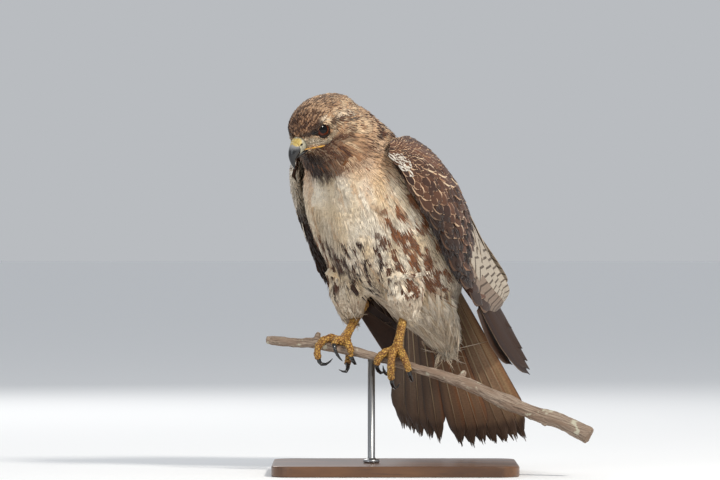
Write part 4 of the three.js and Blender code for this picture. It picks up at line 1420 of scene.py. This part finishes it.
def build_bill():
    """The cere, the hooked upper bill and the lower bill, each smooth, with nostrils."""
    made = {}
    for name, node in (("cere_skin", "cere"), ("bill_horn", "bill_upper"),
                       ("bill_under", "bill_lower")):
        mesh = remeshed(solid_copy([node], 0.12 * MM), 0.5 * MM, name)
        relax(mesh, 5, 0.5)
        co = coordinates(mesh)
        head = to_head(co)
        if node == "cere":
            for side in (1, -1):
                sided = np.array([1, side, 1])
                gap = np.linalg.norm((head - NOSTRIL * sided) / [1.9, 3.5, 1.25], axis=1)
                co -= normals(mesh) * (1.5 * (1 - ease(gap, 0.5, 1.1)))[:, None] * MM
                swell = np.linalg.norm((head - [27, 7.5, -1] * sided) / [5, 4, 4], axis=1)
                co += normals(mesh) * (0.5 * (1 - ease(swell, 0.4, 1.2)))[:, None] * MM
            move_to(mesh, co)
        if node == "bill_lower":
            move_to(mesh, co + head_way(MOUTH_CLOSING) * MM)
        add_attribute(mesh, "place", head)
        smooth_shade(mesh)
        made[node] = put(mesh, name)
    return made


def horn_finish(under=False):
    """Blue-grey horn that darkens to a black tip, with the cere's wax where it starts."""
    s = Shader("lower_horn" if under else "bill_and_claw_horn")
    place = s.parts(s.vector("place"))
    low = s.add(place[2], s.times(place[0], -0.35))
    dark = s.ramp(low, -14.0, -21.5)
    pale = colour("6E5636") if under else colour("908F90")
    tint = s.mix(dark, pale, colour("0E0D0F"))
    fleck = s.ramp(s.noise(500.0, 4.0, None, (1, 1, 0.3)), 0.35, 0.75, 0.0, 0.2)
    tint = s.mix(fleck, tint, s.mix(dark, pale, colour("1B1B1D")))
    tint = s.mix(waxy_part(s, place), tint, colour("B9A15E"))
    s.set(Base_Color=tint, Roughness=0.5 if under else 0.26, Coat_Weight=0.0 if under else 0.3)
    s.bump(s.noise(1500.0, 3.0), 0.12, 0.0002)
    return s.material


def waxy_part(s, place):
    """1 on the yellow swelling over the nostrils and 0 away from it."""
    ways = [(place[0], 29.0, 5.4), (s.size(place[1]), 3.2, 5.2), (place[2], -1.6, 4.6)]
    x, y, z = (s.square(s.math("DIVIDE", s.less(v, at), reach)) for v, at, reach in ways)
    far = s.math("SQRT", s.add(s.add(x, y), z))
    return s.ramp(s.add(far, s.times(s.noise(400.0), 0.15)), 1.2, 0.95)


def cere_finish():
    s = Shader("cere_wax")
    place = s.parts(s.vector("place"))
    yellow = s.mottle(600.0, "C6AE6A", "AC914C")
    edge = s.mottle(500.0, "A9A38E", "8F8A78")
    tint = s.mix(waxy_part(s, place), edge, yellow)
    # A dark spot over each nostril: painted shade in the nostril's hollow
    x = s.math("DIVIDE", s.less(place[0], NOSTRIL[0]), 1.7)
    z = s.math("DIVIDE", s.less(place[2], NOSTRIL[2]), 1.15)
    gap = s.math("SQRT", s.add(s.square(x), s.square(z)))
    tint = s.mix(s.ramp(gap, 1.15, 0.75), tint, colour("2A2014"))
    s.set(Base_Color=tint, Roughness=0.42, Specular_IOR_Level=0.45)
    s.bump(s.noise(1300.0, 3.0), 0.25, 0.0003)
    return s.material


def build_gape():
    """The yellow edge of the mouth, from the bill back to below each eye."""
    parts = []
    for side in (1, -1):
        line = np.array([[26.5, 7.6, -11.6], [22, 10.6, -12.4], [17, 15, -13.4],
                         [13, 18, -14.4], [10, 20, -15], [7.5, 21.2, -15.2]]) * [1, side, 1]
        count = 16
        steps = np.linspace(0, len(line) - 1, count)
        path = np.stack([np.interp(steps, np.arange(len(line)), line[:, k]) for k in range(3)], 1)
        world = from_head(path)
        back = path[:, 0] < 19
        snapped, up, _ = snap(SURFACE["body"], world)
        world[back] = (snapped + up * 0.15 * MM)[back]
        radii = np.interp(np.arange(count), [0, 5, 11, 15], [0.6, 0.8, 1.05, 0.5]) * MM
        parts.append(ring_tube(world, radii))
    points, faces = joined(parts)
    return put(array_mesh("gape", points, faces, {}, {}), "gape_edge")


def gape_finish():
    s = Shader("gape_skin")
    s.set(Base_Color=s.mottle(260.0, "D3A040", "9C6E3C", 0.35, 0.65), Roughness=0.5)
    s.bump(s.noise(1200.0), 0.2, 0.0003)
    return s.material


# Feet
def build_foot(name):
    mesh = remeshed(solid_copy([f"foot_{name}"], 0.2 * MM), 0.75 * MM, f"foot_{name}_skin")
    relax(mesh, 4)
    co = coordinates(mesh)
    ridge = np.abs(np.sin(co[:, 2] / MM * 0.95 + ripple(co / MM, 9, 4) * 0.9))
    bead = ripple(co / MM, 0.9, 6)
    up = normals(mesh)
    co += up * (0.55 + (ridge - 0.5) * 0.4 + bead * 0.12)[:, None] * MM
    move_to(mesh, co)
    smooth_shade(mesh)
    return put(mesh, f"foot_{name}_skin")


def foot_finish():
    s = Shader("scaled_foot_skin")
    seam = s.ramp(s.scale_edges(330.0), 0.02, 0.17)
    base = s.mottle(90.0, "C39A4C", "A87B3C")
    base = s.mix(s.ramp(s.noise(200.0, 3.0), 0.5, 0.75, 0.0, 0.75), base, colour("85552A"))
    tint = s.mix(seam, colour("6E4420"), base)
    s.set(Base_Color=tint, Roughness=0.5, Specular_IOR_Level=0.4)
    s.bump(seam, 0.8, 0.0007)
    return s.material


TOES = ("inner", "middle", "outer", "rear")


def build_talons(side):
    nodes = [f"talon_{side}_{toe}" for toe in TOES]
    mesh = remeshed(solid_copy(nodes, 0.15 * MM), 0.4 * MM, f"talons_{side}")
    relax(mesh, 6)
    add_attribute(mesh, "place", np.tile([0.0, 0.0, -40.0], (len(mesh.vertices), 1)))
    smooth_shade(mesh)
    return put(mesh, f"talons_{side}"), nodes


# Perch and stand
def build_perch():
    """The branch, with cracks that run along it. Its attribute place follows its bends."""
    mesh = remeshed(solid_copy(["perch"]), 1.1 * MM, "perch_bark")
    relax(mesh, 5)
    co = coordinates(mesh) / MM
    count = 25
    stations = np.linspace(co[:, 0].min(), co[:, 0].max(), count + 1)
    bins = np.digitize(co[:, 0], stations[1:-1])
    centre = np.array([co[bins == k].mean(0) for k in range(count)])
    off = np.stack([co[:, k] - np.interp(co[:, 0], centre[:, 0], centre[:, k]) for k in (1, 2)], 1)
    place = np.stack([co[:, 0] * 0.12, off[:, 0], off[:, 1]], 1)
    long = ripple(place * [0.5, 1, 1], 0.75, 11)
    lump = ripple(place * [1.6, 0.5, 0.5], 2.6, 12)
    fleck = ripple(place * [4, 1, 1], 1.1, 13)
    crack = np.clip(long - 0.45, 0, 1)
    flake = ease(lump, 0.2, 0.5)
    push = 0.5 * lump + 0.25 * fleck - 1.3 * crack + 0.5 * flake
    move_to(mesh, (co + normals(mesh) * push[:, None]) * MM)
    relax(mesh, 1, 0.3)
    add_attribute(mesh, "place", place)
    smooth_shade(mesh)
    return put(mesh, "perch_bark")


def bark_finish():
    s = Shader("weathered_bark")
    where = s.vector("place")
    grain = s.noise(0.9, 5.0, where, (0.5, 1.0, 1.0), 0.65)
    patch = s.noise(0.16, 4.0, where, (1.6, 1.0, 1.0))
    tint = s.mix(s.ramp(grain, 0.3, 0.7), colour("6A584A"), colour("AE9C8B"))
    tint = s.mix(s.ramp(patch, 0.45, 0.65, 0.0, 0.8), tint, colour("86705F"))
    tint = s.mix(s.ramp(s.noise(110.0, 3.0), 0.6, 0.7, 0.0, 0.8), tint, colour("C2BEA9"))
    tint = s.mix(s.ramp(grain, 0.38, 0.30), tint, colour("2E241D"))
    s.set(Base_Color=tint, Roughness=0.9, Specular_IOR_Level=0.2)
    s.bump(grain, 0.8, 0.0012)
    return s.material


CORNER = 26 * MM
ROD_RADIUS = 4 * MM


def build_base(bevel):
    """A plain slab with round corners and softened edges."""
    low, high = (np.array(v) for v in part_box("stand_base"))
    bm = bmesh.new()
    bmesh.ops.create_cube(bm, size=1.0)
    bmesh.ops.scale(bm, vec=Vector(high - low), verts=bm.verts)
    bmesh.ops.translate(bm, vec=Vector((low + high) / 2), verts=bm.verts)
    upright = [e for e in bm.edges if abs(e.verts[0].co.z - e.verts[1].co.z) > 0.005]
    bmesh.ops.bevel(bm, geom=upright, offset=CORNER, affect="EDGES", segments=14, profile=0.5,
                    material=-1)
    rims = [e for e in bm.edges if abs(e.verts[0].co.z - e.verts[1].co.z) < 1e-6]
    bmesh.ops.bevel(bm, geom=rims, offset=bevel, affect="EDGES", segments=4, profile=0.5,
                    material=-1)
    return put(mesh_from(bm, "plinth"), "stand_plinth")


def wood_finish():
    s = Shader("varnished_wood")
    ring = s.noise(16.0, 4.0, None, (0.25, 2.6, 1.0), 0.6)
    pore = s.noise(420.0, 3.0, None, (0.06, 1.0, 1.0))
    tint = s.mix(s.ramp(ring, 0.3, 0.7), colour("4A2E1B"), colour("7A5333"))
    tint = s.mix(s.ramp(pore, 0.55, 0.75, 0.0, 0.6), tint, colour("2F1C10"))
    s.set(Base_Color=tint, Roughness=0.38, Coat_Weight=0.25, Coat_Roughness=0.2)
    s.bump(pore, 0.15, 0.0003)
    return s.material


def build_rod():
    """The rod with its flange, turned from one outline."""
    low, high = (np.array(v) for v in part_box("stand_rod"))
    middle = (low + high) / 2
    flange, rod = (high[0] - low[0]) / 2, ROD_RADIUS
    # Steps of the outline: a radius, then millimetres out from it and up from the underside
    steps = [(flange, -0.6, 0), (flange, 0, 0.6), (flange, 0, 3), (flange, -0.8, 3.8),
             (rod, 1.2, 4.4), (rod, 0, 6.2)]
    outline = [(radius + out * MM, low[2] + up * MM) for radius, out, up in steps]
    outline = [(0, low[2]), *outline, (rod, high[2]), (0, high[2])]
    bm = bmesh.new()
    verts = [bm.verts.new((r, 0, h)) for r, h in outline]
    edges = [bm.edges.new(pair) for pair in zip(verts, verts[1:])]
    bmesh.ops.spin(bm, geom=verts + edges, cent=(0, 0, 0), axis=(0, 0, 1), angle=2 * math.pi,
                   steps=40, use_merge=True, use_duplicate=False)
    bmesh.ops.remove_doubles(bm, verts=bm.verts, dist=1e-6)
    bmesh.ops.recalc_face_normals(bm, faces=bm.faces)
    bmesh.ops.translate(bm, vec=(middle[0], middle[1], 0), verts=bm.verts)
    mesh = mesh_from(bm, "post")
    smooth_shade(mesh)
    return put(mesh, "stand_post")


def steel_finish():
    s = Shader("satin_steel")
    brush = s.noise(900.0, 2.0, None, (1.0, 1.0, 0.05))
    s.set(Base_Color=s.mix(brush, colour("8F9091"), colour("A9AAAB")), Metallic=1.0,
          Roughness=0.32)
    s.bump(brush, 0.08, 0.0002)
    return s.material


# Finishes of the long feathers, and their shafts
def rectrix_finish():
    """Tail feathers: clouded webs with a rufous inner web, one dark band near the tip, and painted
    shade on the other web and along the edges, where the feathers overlap.
    """
    s = Shader("tail_vane")
    where, u, v = s.vane()
    ground = s.tint("ground")
    cloud = s.noise(5.0, 4.0, where, (2.0, 0.8, 1.0))
    tint = s.mix(s.ramp(cloud, 0.35, 0.75, 0.0, 0.5), ground, colour("6B4A32"))
    tint = s.mix(s.ramp(u, 0.35, 0.95, 0.0, 0.6), tint, colour("7D4720"))
    # Darker towards one edge of each feather, and a dark line along both edges: painted shade
    # where the feathers overlap
    tint = s.mix(s.ramp(u, -0.35, -0.95, 0.0, 0.75), tint, colour("3E2C20"))
    tint = s.mix(s.ramp(s.size(u), 0.9, 0.97, 0.0, 0.7), tint, colour("2B1D14"))
    tint = s.mix(s.ramp(v, 0.30, 0.05, 0.0, 0.6), tint, colour("B7A892"))
    band = s.add(v, s.both_ways(s.noise(8.0, 2.0, where), 0.05))
    mask = s.times(s.ramp(band, 0.84, 0.90), s.ramp(band, 1.01, 0.97, 0.45, 1.0))
    tint = s.mix(s.times(mask, 0.92), tint, colour("24170F"))
    tint = s.mix(s.ramp(v, 0.72, 0.86, 0.0, 0.55), tint, colour("4A3322"))
    barb = s.noise(3.2, 3.0, where, (2.5, 60.0, 1.0))
    tint = s.shade(tint, s.ramp(barb, 0.2, 0.8, 0.72, 1.15))
    s.set(Base_Color=tint, Roughness=0.6, Sheen_Weight=0.1, Specular_IOR_Level=0.35)
    s.bump(barb, 0.3, 0.0004)
    return s.material


# Dark bars across a long wing feather
BARS = 11


def remex_finish(name, bars, rough=0.55):
    """Long wing feathers: barred where bars is above 0, with a pale worn edge."""
    s = Shader(name)
    where, u, v = s.vane()
    bent = s.less(v, s.times(s.size(u), 0.06))
    wave = s.math("SINE", s.times(bent, 6.283 * BARS))
    wave = s.add(wave, s.times(s.noise(70.0, 2.0), 0.5))
    stripe = s.ramp(wave, 0.85, 1.15, 0.0, bars)
    tint = s.mix(stripe, s.tint("ground"), s.tint("mark"))
    edge = s.ramp(s.size(u), 0.92, 1.0, 0.0, 0.4)
    tint = s.mix(edge, tint, colour("A98D72"))
    barb = s.noise(3.0, 3.0, where, (2.5, 70.0, 1.0))
    tint = s.shade(tint, s.ramp(barb, 0.2, 0.8, 0.75, 1.15))
    s.set(Base_Color=tint, Roughness=rough, Specular_IOR_Level=0.15)
    s.bump(barb, 0.25, 0.0004)
    return s.material


def shaft_finish():
    s = Shader("feather_shaft")
    along = s.vane()[2]
    s.set(Base_Color=s.mix(along, colour("C4AC88"), colour("5A4230")), Roughness=0.4)
    return s.material


def build_shafts(name, spots, spine, width, lift):
    """A shaft on each face of every feather, in one mesh."""
    rng = np.random.default_rng(SEED + 12)
    bm = bmesh.new()
    for way in (1, -1):
        shafts, raised = quill_spots(spots, spine, width, lift * way)
        bm.from_mesh(tufts(name, raised, shafts, 1, (0.0, 0.3, 0.6, 0.85), rng, 0.5, 0.0))
    mesh = mesh_from(bm, name)
    smooth_shade(mesh)
    return put(mesh, name)


# What a user may change
class HawkCoat(bpy.types.PropertyGroup):
    coat_depth: bpy.props.FloatProperty(
        name="Coat depth", description="How far the skin lies under the feathers' tips",
        default=5.0 * MM, unit="LENGTH")
    body_spacing: bpy.props.FloatProperty(
        name="Body spacing", description="Least distance between feathers of the body",
        default=3.5 * MM, unit="LENGTH")
    head_spacing: bpy.props.FloatProperty(
        name="Head spacing", description="Least distance between feathers of the head",
        default=1.75 * MM, unit="LENGTH")
    covert_spacing: bpy.props.FloatProperty(
        name="Covert spacing", description="Distance between rows of small wing feathers",
        default=5.4 * MM, unit="LENGTH")


class HawkStage(bpy.types.PropertyGroup):
    floor_colour: bpy.props.FloatVectorProperty(
        name="Floor colour", description="Colour of the plain floor", subtype="COLOR",
        default=(0.95, 0.96, 0.97), size=3, min=0, max=1)
    backdrop_colour: bpy.props.FloatVectorProperty(
        name="Backdrop colour", description="Colour of the light all round", subtype="COLOR",
        default=colour("B9BCC0"), size=3, min=0, max=1)
    base_bevel: bpy.props.FloatProperty(
        name="Base bevel", description="Rounding of the stand's edges", default=1.8 * MM,
        unit="LENGTH")


# Groups of pieces, one operator for each
class HAWK_OT_skin(bpy.types.Operator):
    """One skin for head, neck, trunk, rump and thighs, under the feathers"""
    bl_idname = "hawk.skin"
    bl_label = "Skin"

    def execute(self, context):
        skin = build_skin(context.scene.hawk_coat.coat_depth)
        finish_piece(skin, skin_finish(), FLESH)
        return {"FINISHED"}


class HAWK_OT_body_coat(bpy.types.Operator):
    """Feathers of the neck, breast, flanks, back, rump and thighs"""
    bl_idname = "hawk.body_coat"
    bl_label = "Body feathers"

    def execute(self, context):
        finish = feather_finish("soft_body_feather", 90.0, 0.16, 0.8, 0.12, 0.16)
        for name, piece in build_body_coat(context.scene.hawk_coat).items():
            finish_piece(piece, finish)
        finish_piece(build_wisps(), finish)
        return {"FINISHED"}


class HAWK_OT_head_coat(bpy.types.Operator):
    """Small feathers of the head and face"""
    bl_idname = "hawk.head_coat"
    bl_label = "Head feathers"

    def execute(self, context):
        finish = feather_finish("head_feather", 30.0, 0.3, 0.8, 0.1, 0.16)
        for piece in build_head_coat(context.scene.hawk_coat).values():
            finish_piece(piece, finish)
        return {"FINISHED"}


class HAWK_OT_wings(bpy.types.Operator):
    """Both folded wings: arm, small feathers, secondaries and primaries"""
    bl_idname = "hawk.wings"
    bl_label = "Wings"

    def execute(self, context):
        covert = feather_finish("wing_covert", 60.0, 0.3, 0.62, 0.06, 0.05, 0.22)
        barred = remex_finish("barred_secondary", 0.85)
        plain = remex_finish("dark_primary", 0.12, 0.45)
        arm = skin_finish()
        soft = feather_finish("wing_lining", 60.0, 0.16, 0.8, 0.12, 0.16)
        for side, name in SIDES.items():
            flesh, coat, lining, tree = build_wing(side, context.scene.hawk_coat)
            finish_piece(lining, soft)
            finish_piece(flesh, arm)
            finish_piece(coat, covert, [f"wing_{name}_coverts"])
            long_ones, outer = build_long_wing(side, tree)
            finish_piece(long_ones, barred, [f"wing_{name}_secondaries"])
            finish_piece(outer, plain, [f"wing_{name}_primaries"])
        return {"FINISHED"}


class HAWK_OT_tail(bpy.types.Operator):
    """Twelve tail feathers with their shafts"""
    bl_idname = "hawk.tail"
    bl_label = "Tail"

    def execute(self, context):
        tail, spots, spine = build_tail()
        finish_piece(tail, rectrix_finish(), ["tail"])
        shafts = build_shafts("tail_shafts", spots, spine, 1.4 * MM, 0.3 * MM)
        finish_piece(shafts, shaft_finish())
        return {"FINISHED"}


class HAWK_OT_face(bpy.types.Operator):
    """Eyes, lids, cere, bill and the edge of the mouth"""
    bl_idname = "hawk.face"
    bl_label = "Face"

    def execute(self, context):
        wet = eye_finish()
        for side, name in SIDES.items():
            finish_piece(build_eye(side), wet, [f"eye_{name}"])
        finish_piece(build_lids(), lid_finish())
        horn, bill = horn_finish(), build_bill()
        finish_piece(bill["cere"], cere_finish(), ["cere"])
        finish_piece(bill["bill_upper"], horn, ["bill_upper"])
        finish_piece(bill["bill_lower"], horn_finish(True), ["bill_lower"])
        finish_piece(build_gape(), gape_finish())
        return {"FINISHED"}


class HAWK_OT_feet(bpy.types.Operator):
    """Scaled feet and their claws"""
    bl_idname = "hawk.feet"
    bl_label = "Feet"

    def execute(self, context):
        scaled = foot_finish()
        horn = horn_finish()
        for name in SIDES.values():
            finish_piece(build_foot(name), scaled, [f"foot_{name}"])
            claws, nodes = build_talons(name)
            finish_piece(claws, horn, nodes)
        return {"FINISHED"}


class HAWK_OT_perch(bpy.types.Operator):
    """The cut length of branch"""
    bl_idname = "hawk.perch"
    bl_label = "Perch"

    def execute(self, context):
        finish_piece(build_perch(), bark_finish(), ["perch"])
        return {"FINISHED"}


class HAWK_OT_stand(bpy.types.Operator):
    """The flat base and its rod"""
    bl_idname = "hawk.stand"
    bl_label = "Stand"

    def execute(self, context):
        base = build_base(context.scene.hawk_stage.base_bevel)
        finish_piece(base, wood_finish(), ["stand_base"])
        finish_piece(build_rod(), steel_finish(), ["stand_rod"])
        return {"FINISHED"}


# Name, place and width in metres, power in watts and colour of each soft light
LIGHTS = (
    ("key", (1.5, -2.2, 2.3), 0.45, 88, (1.0, 0.95, 0.87)),
    ("fill", (-2.4, -2.4, 1.0), 1.6, 14, (0.9, 0.95, 1.0)),
    ("back", (-0.8, 2.6, 1.8), 1.2, 22, (1.0, 0.98, 0.95)),
)
LIT_PLACE = (0.0, 0.0, 0.28)
FLOOR_RADIUS = 60.0


def add_light(name, place, size, power, tint):
    lamp = bpy.data.lights.new(name, "AREA")
    lamp.size = size
    lamp.energy = power
    lamp.color = tint
    holder = bpy.data.objects.new(name, lamp)
    holder.location = place
    holder.rotation_euler = (Vector(LIT_PLACE) - Vector(place)).to_track_quat("-Z", "Y").to_euler()
    bpy.context.scene.collection.objects.link(holder)


class HAWK_OT_stage(bpy.types.Operator):
    """Floor, soft lights and the camera"""
    bl_idname = "hawk.stage"
    bl_label = "Stage"

    def execute(self, context):
        stage = context.scene.hawk_stage
        bm = bmesh.new()
        bmesh.ops.create_circle(bm, cap_ends=True, segments=96, radius=FLOOR_RADIUS)
        mesh = mesh_from(bm, "floor")
        floor = put(mesh, "floor")
        s = Shader("plain_floor")
        s.set(Base_Color=(*stage.floor_colour, 1), Roughness=0.95, Specular_IOR_Level=0.1)
        mesh.materials.append(s.material)
        world = bpy.data.worlds.new("soft_light")
        world.use_nodes = True
        sky = world.node_tree.nodes["Background"]
        sky.inputs["Color"].default_value = (*stage.backdrop_colour, 1)
        sky.inputs["Strength"].default_value = 1.0
        context.scene.world = world
        for light in LIGHTS:
            add_light(*light)
        context.scene.view_settings.view_transform = "Standard"
        lens = bpy.data.cameras.new("camera")
        lens.lens = CAMERA_LENS
        lens.sensor_width = SENSOR_WIDTH
        lens.clip_end = 200
        camera = bpy.data.objects.new("camera", lens)
        camera.location = CAMERA_PLACE
        camera.rotation_euler = (math.pi / 2, 0, 0)
        context.scene.collection.objects.link(camera)
        context.scene.camera = camera
        return {"FINISHED"}


STEPS = (HAWK_OT_stage, HAWK_OT_skin, HAWK_OT_body_coat, HAWK_OT_head_coat, HAWK_OT_wings,
         HAWK_OT_tail, HAWK_OT_face, HAWK_OT_feet, HAWK_OT_perch, HAWK_OT_stand)


class HAWK_PT_panel(bpy.types.Panel):
    """Lists the hawk's sizes, colours and pieces"""
    bl_label = "Hawk"
    bl_idname = "HAWK_PT_panel"
    bl_space_type = "VIEW_3D"
    bl_region_type = "UI"
    bl_category = "Hawk"

    def draw(self, context):
        for group in (context.scene.hawk_coat, context.scene.hawk_stage):
            for key in group.__annotations__:
                self.layout.prop(group, key)
        for step in STEPS:
            self.layout.operator(step.bl_idname)


CLASSES = (HawkCoat, HawkStage, *STEPS, HAWK_PT_panel)


def register():
    for one in CLASSES:
        bpy.utils.register_class(one)
    bpy.types.Scene.hawk_coat = bpy.props.PointerProperty(type=HawkCoat)
    bpy.types.Scene.hawk_stage = bpy.props.PointerProperty(type=HawkStage)


def unregister():
    del bpy.types.Scene.hawk_coat
    del bpy.types.Scene.hawk_stage
    for one in reversed(CLASSES):
        bpy.utils.unregister_class(one)


def main():
    register()
    for step in STEPS:
        group, name = step.bl_idname.split(".")
        getattr(getattr(bpy.ops, group), name)()


if __name__ == "__main__":
    main()
